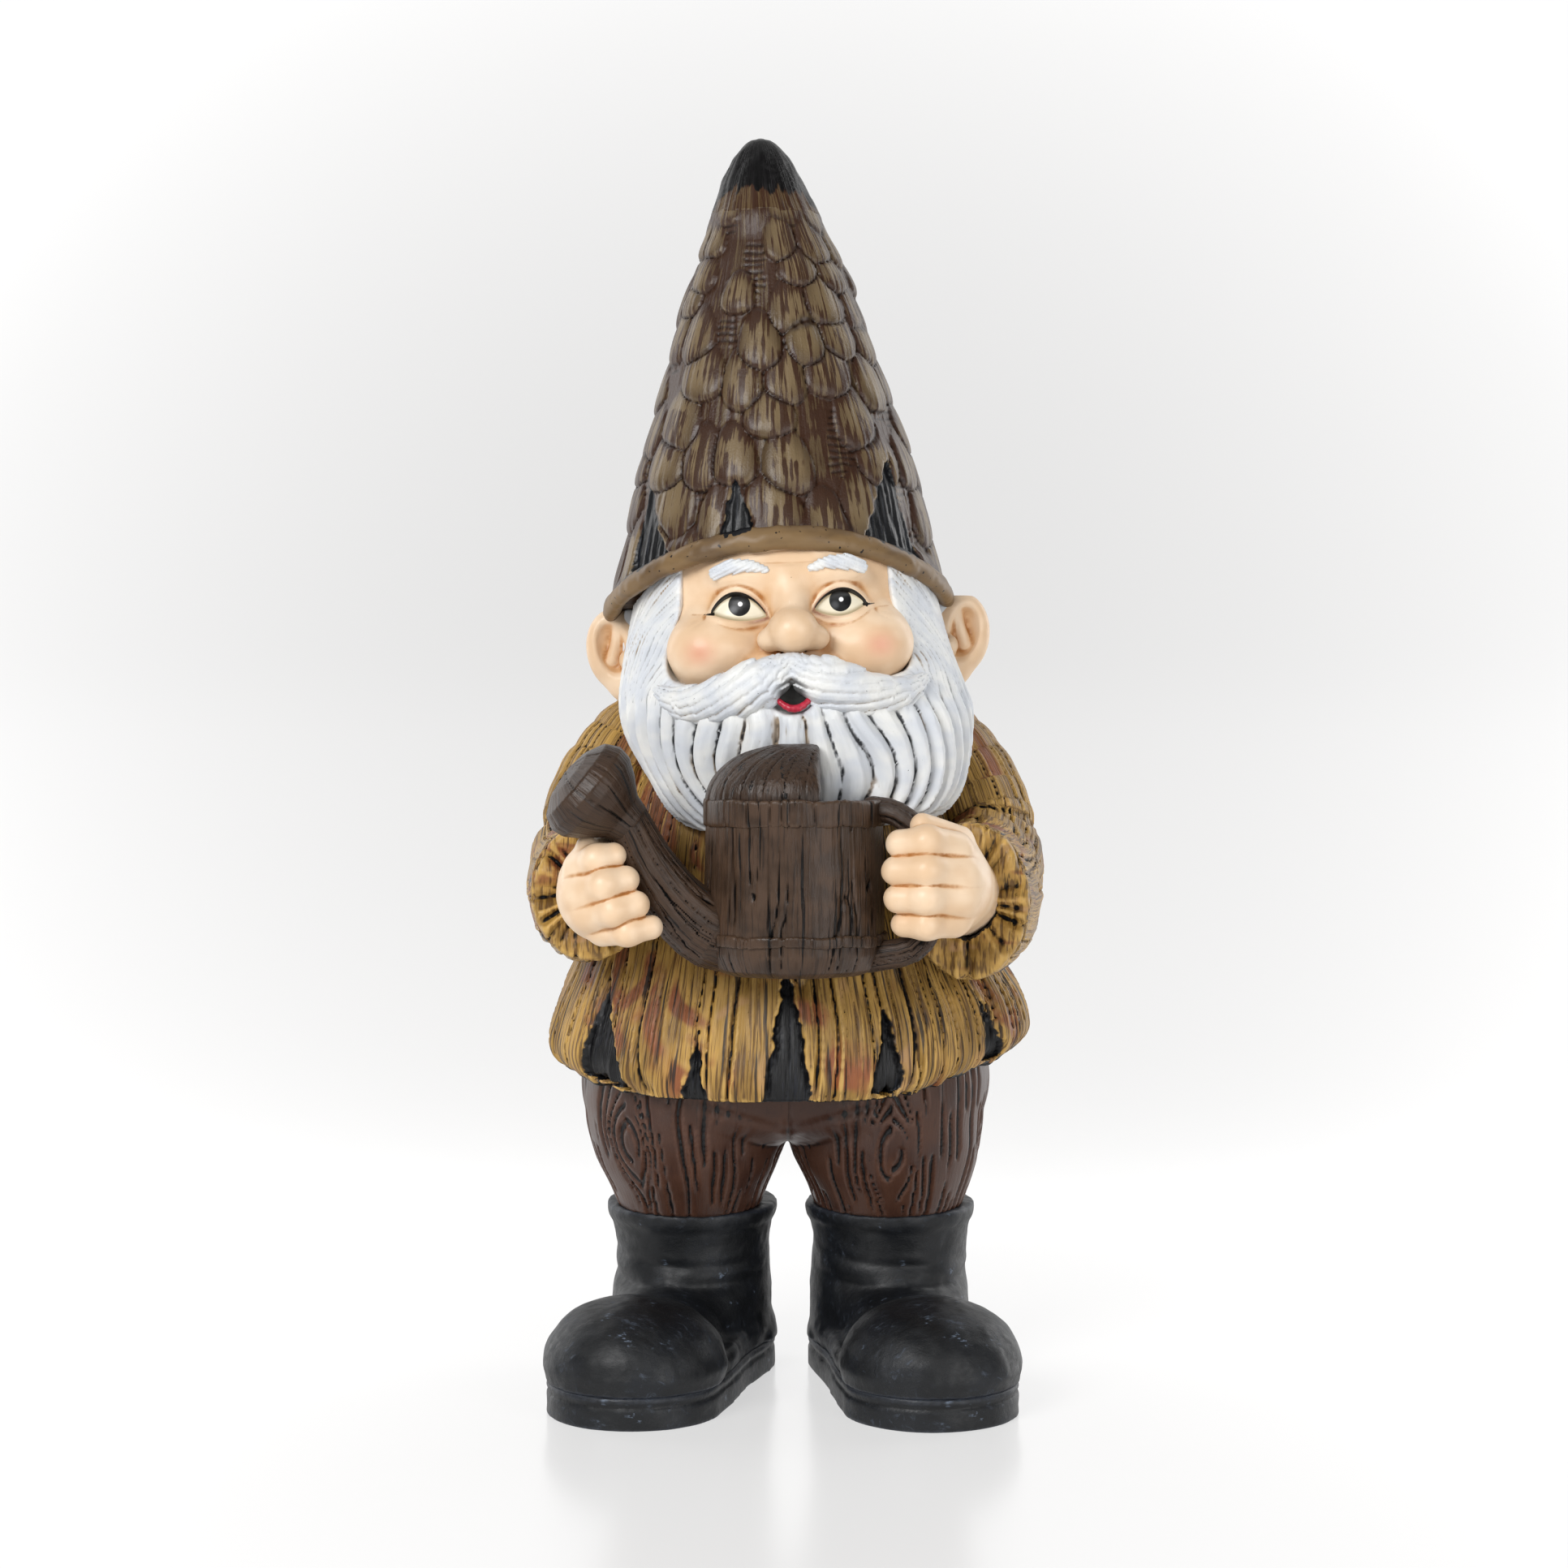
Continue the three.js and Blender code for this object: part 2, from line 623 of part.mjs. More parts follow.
const castings = {
  hat_body: () => cut(hatForm(), brimForm(BOND)),
  hat_tip: () => tipForm(),
  hat_brim: () => cut(brimForm(), skullForm(BOND)),
  head: () => cut(headForm(), hatForm(BOND), jacketForm(BOND), browForm(-1, BOND), browForm(1, BOND)),
  moustache: () => cut(moustacheForm(), headForm(BOND)),
  lower_lip: () => cut(lipForm(), headForm(BOND), moustacheForm(BOND)),
  beard: () =>
    cut(
      beardForm(),
      headForm(BOND),
      faceWindow(),
      behindEars,
      jacketForm(BOND),
      hatClearance(),
      moustacheForm(BOND),
      lipForm(BOND),
      ...canSet(BOND),
      fistForm("left", BOND),
      fistForm("right", BOND),
      earForm(-1, BOND),
      earForm(1, BOND),
    ),
  back_hair: () =>
    cut(
      backHairForm(),
      skullForm(BOND),
      beforeEars,
      jacketForm(BOND),
      hatClearance(),
      earForm(-1, BOND),
      earForm(1, BOND),
    ),
  jacket: () => jacketForm(),
  trousers: () => cut(trousersForm(), jacketForm(BOND)),
  can_body: () => cut(canForm(), jacketForm(BOND), ...hoops(BOND)),
  can_upper_hoop: () => cut(hoopForm("upper"), jacketForm(BOND)),
  can_lower_hoop: () => cut(hoopForm("lower"), jacketForm(BOND)),
  can_hood: () => cut(hoodForm(), hoopForm("upper", BOND), jacketForm(BOND)),
  can_spout: () => cut(spoutForm(), canForm(BOND), ...hoops(BOND), roseForm(BOND), jacketForm(BOND)),
  can_rose: () => cut(roseForm(), jacketForm(BOND)),
  can_handle: () => cut(handleForm(), canForm(BOND), ...hoops(BOND), jacketForm(BOND)),
};

for (const [side, sign] of [
  ["left", 1],
  ["right", -1],
]) {
  Object.assign(castings, {
    [`${side}_ear`]: () => cut(earForm(sign), headForm(BOND), hatClearance()),
    [`${side}_brow`]: () => browForm(sign),
    [`${side}_sleeve`]: () =>
      cut(
        sleeveForm(side),
        cuffRecess(side),
        jacketForm(BOND),
        headForm(BOND),
        beardForm(BOND),
        backHairForm(BOND),
        earForm(sign, BOND),
        fistForm(side, BOND),
        ...canSet(BOND),
      ),
    [`${side}_hand`]: () => cut(fistForm(side), jacketForm(BOND), ...canSet(BOND)),
    [`${side}_boot`]: () => cut(bootForm(side), trousersForm(BOND)),
    [`${side}_sole`]: () => soleForm(side),
  });
}

// ---------------------------------------------------------------- paint

// The colour and roughness of the paint, by what the name of the casting says.
const COATS = [
  [/^hat_body/, "#6e5f4c", 0.45],
  [/^hat_tip/, "#1d1712", 0.5],
  [/^hat_brim/, "#85796a", 0.45],
  [/^head|_ear$|_hand$/, "#dfa184", 0.5],
  [/beard|moustache|hair|brow$/, "#d9d7d0", 0.6],
  [/lip$/, "#a52a36", 0.4],
  [/^jacket|_sleeve$/, "#b8893f", 0.5],
  [/^trousers/, "#5b3425", 0.5],
  [/^can_/, "#3e2c22", 0.4],
  [/_boot|_sole$/, "#20242b", 0.4],
];

function coatOf(name) {
  const [, color, roughness] = COATS.find(([pattern]) => pattern.test(name));
  return new THREE.MeshStandardMaterial({ color, roughness, metalness: 0 });
}

/** A mesh of the largest body of a solid, since trimming one form by another can leave crumbs. */
function meshOf(name, solid) {
  const bodies = solid.decompose();
  const largest = bodies.reduce((best, next) => (next.volume() > best.volume() ? next : best));
  const mesh = largest.getMesh();
  const geometry = new THREE.BufferGeometry();
  geometry.setAttribute("position", new THREE.BufferAttribute(mesh.vertProperties, 3));
  geometry.setIndex(new THREE.BufferAttribute(mesh.triVerts, 1));
  geometry.computeVertexNormals();
  const made = new THREE.Mesh(geometry, coatOf(name));
  made.name = name;
  return made;
}

const gnome = new THREE.Group();
for (const [name, make] of Object.entries(castings)) gnome.add(meshOf(name, make()));

const middle = new THREE.Box3().setFromObject(gnome).getCenter(new THREE.Vector3());
gnome.position.set(-middle.x, -middle.y, 0);

export default gnome;
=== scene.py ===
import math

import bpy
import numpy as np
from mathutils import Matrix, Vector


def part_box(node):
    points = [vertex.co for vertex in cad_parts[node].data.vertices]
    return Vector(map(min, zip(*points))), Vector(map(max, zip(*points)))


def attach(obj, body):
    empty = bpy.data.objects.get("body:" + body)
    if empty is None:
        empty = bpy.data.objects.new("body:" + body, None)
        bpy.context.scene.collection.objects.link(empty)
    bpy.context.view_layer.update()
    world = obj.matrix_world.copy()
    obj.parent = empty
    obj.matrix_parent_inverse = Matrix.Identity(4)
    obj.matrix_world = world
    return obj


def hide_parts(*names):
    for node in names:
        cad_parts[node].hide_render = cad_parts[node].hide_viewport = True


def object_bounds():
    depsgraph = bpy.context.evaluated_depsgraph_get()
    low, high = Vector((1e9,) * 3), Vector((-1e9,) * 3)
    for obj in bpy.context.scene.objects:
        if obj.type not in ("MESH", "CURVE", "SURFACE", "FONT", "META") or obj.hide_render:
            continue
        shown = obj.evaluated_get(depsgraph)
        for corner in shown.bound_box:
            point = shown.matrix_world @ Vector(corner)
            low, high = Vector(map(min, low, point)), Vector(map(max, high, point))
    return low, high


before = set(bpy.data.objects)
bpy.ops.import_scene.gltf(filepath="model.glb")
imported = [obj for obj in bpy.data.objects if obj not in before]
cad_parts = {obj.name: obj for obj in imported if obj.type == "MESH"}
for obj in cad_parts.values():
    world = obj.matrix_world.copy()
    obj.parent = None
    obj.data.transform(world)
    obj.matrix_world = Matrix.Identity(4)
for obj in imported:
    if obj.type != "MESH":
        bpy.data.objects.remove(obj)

# A hand-painted garden gnome with a watering can. Each casting of the frame is sculpted again in detail,
# as a signed distance field that is meshed here. Node materials paint it and read masks from the mesh.
#
# Forms are laid out in millimetres round the line that the figure stands on: +Z up, the face towards -Y.
# Left and right are the gnome's own, so its left is +X. FIGURE_ORIGIN is where that line meets the floor.

CAD_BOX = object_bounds()
MM = 0.001

JACKET_LEAN = 1.5
JACKET_BACK = 65.4
jacket_low, jacket_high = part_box("jacket")
FIGURE_ORIGIN = Vector(
    ((jacket_low.x + jacket_high.x) / 2 - JACKET_LEAN * MM, jacket_high.y - JACKET_BACK * MM, 0.0)
)
HEIGHT = CAD_BOX[1].z / MM
SIDES = ((1, "left"), (-1, "right"))

DRAFT = 1.0


# ---------------------------------------------------------------- signed distance fields
# A point p is a tuple of three arrays, in millimetres, and every form returns its distance outwards.


def smooth_min(a, b, k):
    h = np.clip(0.5 + 0.5 * (b - a) / k, 0, 1)
    return b + (a - b) * h - k * h * (1 - h)


def smooth_max(a, b, k):
    return -smooth_min(-a, -b, k)


def step_between(low, high, value):
    """0 below low, 1 above high, and smooth between them."""
    t = np.clip((value - low) / (high - low), 0, 1)
    return t * t * (3 - 2 * t)


def ellipsoid(p, centre, radii, turn=0.0):
    """turn is in degrees, about Y."""
    x, y, z = (p[i] - centre[i] for i in range(3))
    if turn:
        c, s = math.cos(math.radians(turn)), math.sin(math.radians(turn))
        x, z = x * c - z * s, x * s + z * c
    rx, ry, rz = radii
    k0 = np.sqrt((x / rx) ** 2 + (y / ry) ** 2 + (z / rz) ** 2)
    k1 = np.sqrt((x / rx**2) ** 2 + (y / ry**2) ** 2 + (z / rz**2) ** 2)
    return k0 * (k0 - 1) / np.maximum(k1, 1e-6)


def capsule(p, a, b, ra, rb=None):
    """A bar with round ends, of radius ra at a and rb at b."""
    rb = ra if rb is None else rb
    a, b = np.array(a, float), np.array(b, float)
    run = b - a
    offsets = [p[i] - a[i] for i in range(3)]
    t = np.clip(sum(offsets[i] * run[i] for i in range(3)) / (run @ run), 0, 1)
    away = np.sqrt(sum((offsets[i] - run[i] * t) ** 2 for i in range(3)))
    return away - (ra + (rb - ra) * t)


def hermite(rows, count):
    """count places along a smooth curve through the rows, each with all of the rows' columns."""
    rows = np.array(rows, float)
    slopes = np.gradient(rows, axis=0)
    at = np.linspace(0, len(rows) - 1, count)
    i = np.minimum(at.astype(int), len(rows) - 2)
    t = (at - i)[:, None]
    a, b, da, db = rows[i], rows[i + 1], slopes[i], slopes[i + 1]
    return (
        a * (2 * t**3 - 3 * t**2 + 1)
        + da * (t**3 - 2 * t**2 + t)
        + b * (3 * t**2 - 2 * t**3)
        + db * (t**3 - t**2)
    )


class Loft:
    """Elliptical sections stacked along Z, from rows of [z, x, y, half width, half depth]."""

    def __init__(self, rows):
        self.table = hermite(rows, 40 * len(rows))

    def section(self, z):
        heights = self.table[:, 0]
        return [np.interp(z, heights, self.table[:, i]) for i in range(1, 5)]

    def polar(self, p):
        """Angle round the section, 0 in front and positive towards +X, and the distance from its wall."""
        cx, cy, rx, ry = self.section(p[2])
        u, v = (p[0] - cx) / rx, (p[1] - cy) / ry
        return np.arctan2(u, -v), (np.hypot(u, v) - 1) * np.minimum(rx, ry)

    def field(self, p, low, high, ease=1.5):
        """The whole form, cut off level at low and high with its edges eased."""
        wall = self.polar(p)[1]
        return smooth_max(wall, np.maximum(low - p[2], p[2] - high), ease)


class Tube:
    """A limb of elliptical section along a curve, from rows of [x, y, z, half width, half height]."""

    def __init__(self, rows, across, pieces=14):
        self.points = hermite(rows, pieces + 1)
        self.across = np.array(across, float)

    def locate(self, p):
        """(distance, place along the curve from 0 to 1, offset across, offset up) of each point."""
        best = None
        pieces = len(self.points) - 1
        for i in range(pieces):
            a, b = self.points[i], self.points[i + 1]
            run = b[:3] - a[:3]
            length = np.linalg.norm(run)
            along = run / length
            wide = self.across - along * (self.across @ along)
            wide /= np.linalg.norm(wide)
            tall = np.cross(wide, along)
            offset = [p[k] - a[k] for k in range(3)]
            t = np.clip(sum(offset[k] * along[k] for k in range(3)) / length, 0, 1)
            for k in range(3):
                offset[k] = offset[k] - run[k] * t
            du, dv, dw = (sum(offset[k] * axis[k] for k in range(3)) for axis in (wide, tall, along))
            ru = a[3] + (b[3] - a[3]) * t
            rv = a[4] + (b[4] - a[4]) * t
            small = np.minimum(ru, rv)
            away = (np.sqrt((du / ru) ** 2 + (dv / rv) ** 2 + (dw / small) ** 2) - 1) * small
            found = (away, (i + t) / pieces, du, dv)
            if best is None:
                best = [part.copy() for part in found]
            else:
                nearer = away < best[0]
                for kept, new in zip(best, found):
                    kept[nearer] = new[nearer]
        return best

    def field(self, p):
        return self.locate(p)[0]


def wrapped(angle, radius, z):
    """A point on a plain cylinder. A pattern read there runs straight up a bumpy or sloping form."""
    return radius * np.sin(angle), -radius * np.cos(angle), z


# ---------------------------------------------------------------- repeatable noise


def chance(ix, iy, iz, seed):
    """A repeatable random number from 0 to 1 for each whole-number place."""
    h = ix.astype(np.uint32) * np.uint32(374761393) + iy.astype(np.uint32) * np.uint32(668265263)
    h += iz.astype(np.uint32) * np.uint32(2246822519) + np.uint32(seed * 3266489917 % 2**32)
    h = (h ^ (h >> np.uint32(13))) * np.uint32(1274126177)
    h ^= h >> np.uint32(16)
    return (h & np.uint32(0xFFFFFF)).astype(np.float32) / 0xFFFFFF


def noise(x, y, z, seed=0):
    """Smooth noise from -1 to 1 that changes over one unit of each axis."""
    cells = [np.floor(v).astype(np.int32) for v in (x, y, z)]
    fx, fy, fz = (v - c for v, c in zip((x, y, z), cells))
    fx, fy, fz = (f * f * (3 - 2 * f) for f in (fx, fy, fz))
    ix, iy, iz = cells
    total = 0
    for dx, wx in ((0, 1 - fx), (1, fx)):
        for dy, wy in ((0, 1 - fy), (1, fy)):
            for dz, wz in ((0, 1 - fz), (1, fz)):
                total = total + chance(ix + dx, iy + dy, iz + dz, seed) * wx * wy * wz
    return total * 2 - 1


def grain(p, pitch, run, seed=0):
    """Noise drawn out along Z: lines about pitch apart that change over a length of run."""
    return noise(p[0] / pitch, p[1] / pitch, p[2] / run, seed)


# ---------------------------------------------------------------- from a field to a mesh

REACH = 6.0  # millimetres
COARSER = 4  # the coarse grid that finds the surface has cells this many times as wide


def refine(values, factor):
    """The grid with factor times as many cells each way, filled in evenly between its values."""
    for axis in range(3):
        values = np.moveaxis(values, axis, 0)
        steps = [values[:-1] + (values[1:] - values[:-1]) * np.float32(i / factor) for i in range(factor)]
        finer = np.stack(steps, 1).reshape((-1,) + values.shape[1:])
        values = np.moveaxis(np.concatenate([finer, values[-1:]]), 0, axis)
    return np.ascontiguousarray(values)


def sample(field, low, high, step):
    """The field on a grid. Only points within REACH of the surface are worked out exactly."""
    low = np.array(low, float)
    cells = np.ceil((np.array(high, float) - low) / (step * COARSER)).astype(int)
    axes = [low[i] + np.arange(cells[i] + 1) * step * COARSER for i in range(3)]
    coarse_points = [v.ravel().astype(np.float32) for v in np.meshgrid(*axes, indexing="ij")]
    coarse = field(coarse_points).astype(np.float32).reshape(cells + 1)
    values = refine(coarse, COARSER)
    near = np.nonzero(np.abs(values) < REACH)
    points = [(low[i] + near[i] * step).astype(np.float32) for i in range(3)]
    values[near] = field(points)
    return values, low


def surface(field, low, high, step):
    """Vertices in millimetres and quads of the zero surface of the field."""
    step = step * DRAFT
    values, low = sample(field, low, high, step)
    inside = values < 0
    shape = np.array(values.shape)
    cell_ids, cell_points, quads = [], [], []
    for axis in range(3):
        others = [a for a in range(3) if a != axis]
        a = np.take(values, range(shape[axis] - 1), axis)
        b = np.take(values, range(1, shape[axis]), axis)
        starts = np.array(np.nonzero((a < 0) != (b < 0))).T
        held = np.all((starts[:, others] > 0) & (starts[:, others] < shape[others] - 1), axis=1)
        starts = starts[held]
        at = tuple(starts.T)
        place = starts.astype(np.float32)
        place[:, axis] += a[at] / (a[at] - b[at])
        ring = []
        for du, dv in ((0, 0), (1, 0), (1, 1), (0, 1)):
            cell = starts.copy()
            cell[:, others[0]] -= du
            cell[:, others[1]] -= dv
            ring.append((cell[:, 0] * shape[1] + cell[:, 1]) * shape[2] + cell[:, 2])
        ring = np.stack(ring, 1)
        cell_ids.append(ring.ravel())
        cell_points.append(np.repeat(place, 4, 0))
        facing = inside[at] ^ (axis == 1)
        quads.append(np.where(facing[:, None], ring, ring[:, ::-1]))
    used, owner = np.unique(np.concatenate(cell_ids), return_inverse=True)
    points = np.concatenate(cell_points)
    count = np.bincount(owner)
    verts = np.stack([np.bincount(owner, points[:, i]) / count for i in range(3)], 1)
    faces = np.searchsorted(used, np.concatenate(quads))
    return verts * step + low, faces


def neighbours(faces):
    """Both ends of every edge of the mesh."""
    pairs = np.concatenate([faces, np.roll(faces, -1, 1)], 0).reshape(2, -1).T
    pairs = np.sort(pairs, 1)
    base = faces.max() + 1
    keys = np.unique(pairs[:, 0].astype(np.int64) * base + pairs[:, 1])
    return keys // base, keys % base


def main_shell(verts, faces):
    """The largest connected part of the mesh, so that no crumb is left."""
    a, b = neighbours(faces)
    label = np.arange(len(verts))
    while True:
        least = np.minimum(label[a], label[b])
        before = label.copy()
        np.minimum.at(label, a, least)
        np.minimum.at(label, b, least)
        label = label[label]
        if np.array_equal(before, label):
            break
    kept = label == np.bincount(label).argmax()
    new_index = np.cumsum(kept) - 1
    return verts[kept], new_index[faces[kept[faces[:, 0]]]]


def averaged(values, a, b, count, rounds):
    """Values of the vertices, evened out over their neighbours a number of times."""
    degree = np.bincount(a, minlength=count) + np.bincount(b, minlength=count)
    for _ in range(rounds):
        total = np.bincount(a, values[b], count) + np.bincount(b, values[a], count)
        values = 0.5 * values + 0.5 * total / degree
    return values


def normals_of(verts, faces):
    p0, p1, p2, p3 = (verts[faces[:, i]] for i in range(4))
    flat = np.cross(p2 - p0, p3 - p1)
    total = np.stack(
        [sum(np.bincount(faces[:, i], flat[:, k], len(verts)) for i in range(4)) for k in range(3)], 1
    )
    return total / np.maximum(np.linalg.norm(total, axis=1, keepdims=True), 1e-9)


def hollowness(verts, faces, rounds):
    """How far each vertex lies below its surroundings, in millimetres: above 0 in creases."""
    a, b = neighbours(faces)
    spread = np.stack([averaged(verts[:, k], a, b, len(verts), rounds) for k in range(3)], 1)
    return np.sum((spread - verts) * normals_of(verts, faces), 1)


# ---------------------------------------------------------------- pieces


def figure_to_frame(points):
    return np.asarray(points) * MM + np.array(FIGURE_ORIGIN)


def same_place(points):
    return points


def add_piece(name, node, material, field, box, step, masks=None, place=same_place):
    """Sculpts a field as the piece that stands for a CAD node.

    box holds the low and the high corner of the space to mesh, and step is the mesh size, in millimetres.
    masks(p, normals) gives the named paint masks. The mask called flow has three parts: where each point
    lies in the grain of its material, in millimetres. place moves the finished points into the figure.
    """
    verts, faces = main_shell(*surface(field, *box, step))
    p = tuple(verts.T)
    paint = {"crease": hollowness(verts, faces, 6), "hollow": hollowness(verts, faces, 40), "flow": p}
    if masks:
        paint.update(masks(p, normals_of(verts, faces)))
    mesh = bpy.data.meshes.new(name)
    mesh.vertices.add(len(verts))
    mesh.vertices.foreach_set("co", figure_to_frame(place(verts)).astype(np.float32).ravel())
    mesh.loops.add(faces.size)
    mesh.loops.foreach_set("vertex_index", faces.astype(np.int32).ravel())
    mesh.polygons.add(len(faces))
    mesh.polygons.foreach_set("loop_start", np.arange(0, faces.size, 4, dtype=np.int32))
    mesh.update(calc_edges=True)
    mesh.polygons.foreach_set("use_smooth", np.ones(len(faces), bool))
    for mask, values in paint.items():
        if mask == "flow":
            layer = mesh.attributes.new(mask, "FLOAT_VECTOR", "POINT")
            layer.data.foreach_set("vector", np.stack(values, 1).astype(np.float32).ravel())
        else:
            layer = mesh.attributes.new(mask, "FLOAT", "POINT")
            layer.data.foreach_set("value", np.asarray(values, np.float32))
    mesh.materials.append(material)
    piece = bpy.data.objects.new(name, mesh)
    bpy.context.scene.collection.objects.link(piece)
    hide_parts(node)
    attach(piece, "root")


# ---------------------------------------------------------------- paint


def srgb(code):
    """A web colour as linear red, green, blue and alpha."""
    parts = [int(code[i : i + 2], 16) / 255 for i in (1, 3, 5)]
    return [v / 12.92 if v <= 0.04045 else ((v + 0.055) / 1.055) ** 2.4 for v in parts] + [1.0]


class Paint:
    """Builds a material's node tree. Its methods return sockets, and numbers may stand in for sockets."""

    def __init__(self, name):
        self.material = bpy.data.materials.new(name)
        self.material.use_nodes = True
        self.tree = self.material.node_tree
        self.shader = self.tree.nodes["Principled BSDF"]
        self.place = self.node("ShaderNodeAttribute", attribute_name="flow").outputs["Vector"]

    def node(self, kind, **settings):
        made = self.tree.nodes.new(kind)
        for key, value in settings.items():
            setattr(made, key, value)
        return made

    def plug(self, socket, value):
        if isinstance(value, bpy.types.NodeSocket):
            self.tree.links.new(value, socket)
        else:
            socket.default_value = value

    def mask(self, name):
        return self.node("ShaderNodeAttribute", attribute_name=name).outputs["Fac"]

    def math(self, operation, a, b=0.0, clamp=False):
        made = self.node("ShaderNodeMath", operation=operation, use_clamp=clamp)
        self.plug(made.inputs[0], a)
        self.plug(made.inputs[1], b)
        return made.outputs[0]

    def times(self, a, b):
        return self.math("MULTIPLY", a, b)

    def distance(self, u, v):
        return self.math("SQRT", self.math("ADD", self.times(u, u), self.times(v, v)))

    def ramp(self, value, low, high, to_low=0.0, to_high=1.0):
        """to_low where value is under low, to_high where it is over high, and smooth between."""
        made = self.node("ShaderNodeMapRange", interpolation_type="SMOOTHSTEP")
        ends = {"From Min": low, "From Max": high, "To Min": to_low, "To Max": to_high}
        for key, number in ends.items():
            made.inputs[key].default_value = number
        self.plug(made.inputs["Value"], value)
        return made.outputs[0]

    def noise(self, size, stretch=(1, 1, 1), detail=3.0, rough=0.55, warp=0.0):
        """Noise whose features are size millimetres across, drawn out along each axis by stretch."""
        mapping = self.node("ShaderNodeMapping")
        self.plug(mapping.inputs["Vector"], self.place)
        mapping.inputs["Scale"].default_value = [1 / (size * s) for s in stretch]
        made = self.node("ShaderNodeTexNoise")
        self.plug(made.inputs["Vector"], mapping.outputs[0])
        made.inputs["Scale"].default_value = 1.0
        made.inputs["Detail"].default_value = detail
        made.inputs["Roughness"].default_value = rough
        made.inputs["Distortion"].default_value = warp
        return made.outputs["Fac"]

    def mix(self, amount, under, over):
        """The colour under, with the colour over laid on it by amount."""
        made = self.node("ShaderNodeMix", data_type="RGBA")
        self.plug(made.inputs["Factor"], amount)
        for socket, colour in ((made.inputs["A"], under), (made.inputs["B"], over)):
            colour_socket = [i for i in made.inputs if i.name == socket.name and i.type == "RGBA"][0]
            self.plug(colour_socket, srgb(colour) if isinstance(colour, str) else colour)
        return [o for o in made.outputs if o.type == "RGBA"][0]

    def over(self, under, colour, value, low, high, most=1.0):
        """The colour under, with colour laid on it by up to most as value goes from low to high."""
        return self.mix(self.ramp(value, low, high, 0.0, most), under, colour)

    def finish(self, colour, roughness, bump, depth, coat=0.0, shine=0.3):
        """depth is how far, in millimetres, the bump stands up. coat is a clear varnish."""
        self.plug(self.shader.inputs["Specular IOR Level"], shine)
        self.plug(self.shader.inputs["Base Color"], colour)
        self.plug(self.shader.inputs["Roughness"], roughness)
        self.shader.inputs["Coat Weight"].default_value = coat
        self.shader.inputs["Coat Roughness"].default_value = 0.25
        made = self.node("ShaderNodeBump")
        made.inputs["Distance"].default_value = depth * MM
        self.plug(made.inputs["Height"], bump)
        self.plug(self.shader.inputs["Normal"], made.outputs[0])
        return self.material


def hat_material():
    """Olive brown petals, with dark red-brown brushed down out of the cuts between them. The petals
    lighten towards their middles and on their ridges, partly paint and partly painted highlight.
    """
    paint = Paint("hat_paint")
    streaks = paint.noise(1.5, (1, 1, 14), detail=4, rough=0.6)
    patches = paint.noise(15, detail=2)
    petal, crease = paint.mask("petal"), paint.mask("crease")
    colour = paint.over("#4f3f2b", "#604e36", patches, 0.35, 0.65)
    # The petals lighten towards their middles: partly the petals' own olive paint, partly painted
    # highlight.
    colour = paint.over(colour, "#79674b", petal, 0.1, 0.75, 0.75)
    wash = paint.times(paint.ramp(petal, 0.45, -0.1), 0.1)
    wash = paint.math("ADD", wash, paint.times(paint.ramp(paint.mask("drop"), 0.1, 0.9), 0.12))
    wash = paint.math("ADD", wash, paint.ramp(patches, 0.42, 0.6, -0.02, 0.09))
    streaked = paint.ramp(paint.math("ADD", streaks, wash), 0.53, 0.6)
    colour = paint.mix(paint.times(streaked, 0.92), colour, "#341b0e")
    colour = paint.over(colour, "#1d100a", paint.mask("hatch"), 0.2, 0.75, 0.6)
    soft = paint.times(paint.mask("edge"), paint.ramp(paint.noise(6, detail=2), 0.35, 0.6, 0.35, 0.95))
    colour = paint.mix(soft, colour, "#26140b")
    colour = paint.over(colour, "#1b0f09", crease, 0.05, 0.26)
    # Lighter on raised ridges: partly dry-brushed wear, partly painted highlight.
    wear_and_highlight = paint.times(paint.ramp(crease, -0.06, -0.25), paint.ramp(streaks, 0.58, 0.48))
    colour = paint.mix(paint.times(wear_and_highlight, 0.45), colour, "#8d7b5f")
    torn = paint.ramp(paint.mask("torn"), -0.15, 0.15)
    strands = paint.ramp(paint.noise(0.9, (1, 1, 12)), 0.5, 0.7)
    colour = paint.mix(torn, colour, paint.mix(strands, "#08090c", "#1c1f26"))
    bump = paint.math("ADD", streaks, paint.times(paint.noise(0.7, detail=2), 0.4))
    shine = paint.ramp(crease, 0.02, 0.2, 0.3, 0.05)
    rough = paint.ramp(patches, 0.3, 0.7, 0.36, 0.46)
    return paint.finish(colour, rough, bump, 0.3, coat=0.16, shine=shine)


def tip_material():
    paint = Paint("hat_tip_paint")
    streaks = paint.noise(1.5, (1, 1, 14), detail=4, rough=0.6)
    colour = paint.over("#080708", "#151214", streaks, 0.5, 0.7)
    bare = paint.ramp(paint.math("ADD", paint.mask("bare"), paint.times(streaks, 6.0)), 2.5, 3.4)
    wood = paint.over("#5a4831", "#341b0e", streaks, 0.46, 0.53, 0.92)
    colour = paint.mix(bare, colour, wood)
    rough = paint.ramp(streaks, 0.3, 0.7, 0.3, 0.46)
    return paint.finish(colour, rough, streaks, 0.3, coat=0.15, shine=0.18)


def brim_material():
    paint = Paint("brim_paint")
    patches = paint.noise(8, (2.5, 2.5, 1), detail=3)
    specks = paint.noise(1.7, detail=1)
    colour = paint.over("#634e36", "#7c6342", patches, 0.35, 0.65)
    colour = paint.over(colour, "#0d0e12", paint.mask("torn"), -0.15, 0.15)
    colour = paint.over(colour, "#1b120d", specks, 0.7, 0.74)
    colour = paint.over(colour, "#241811", paint.mask("crease"), 0.04, 0.22)
    return paint.finish(colour, paint.ramp(patches, 0.3, 0.7, 0.4, 0.5), patches, 0.4, coat=0.1)


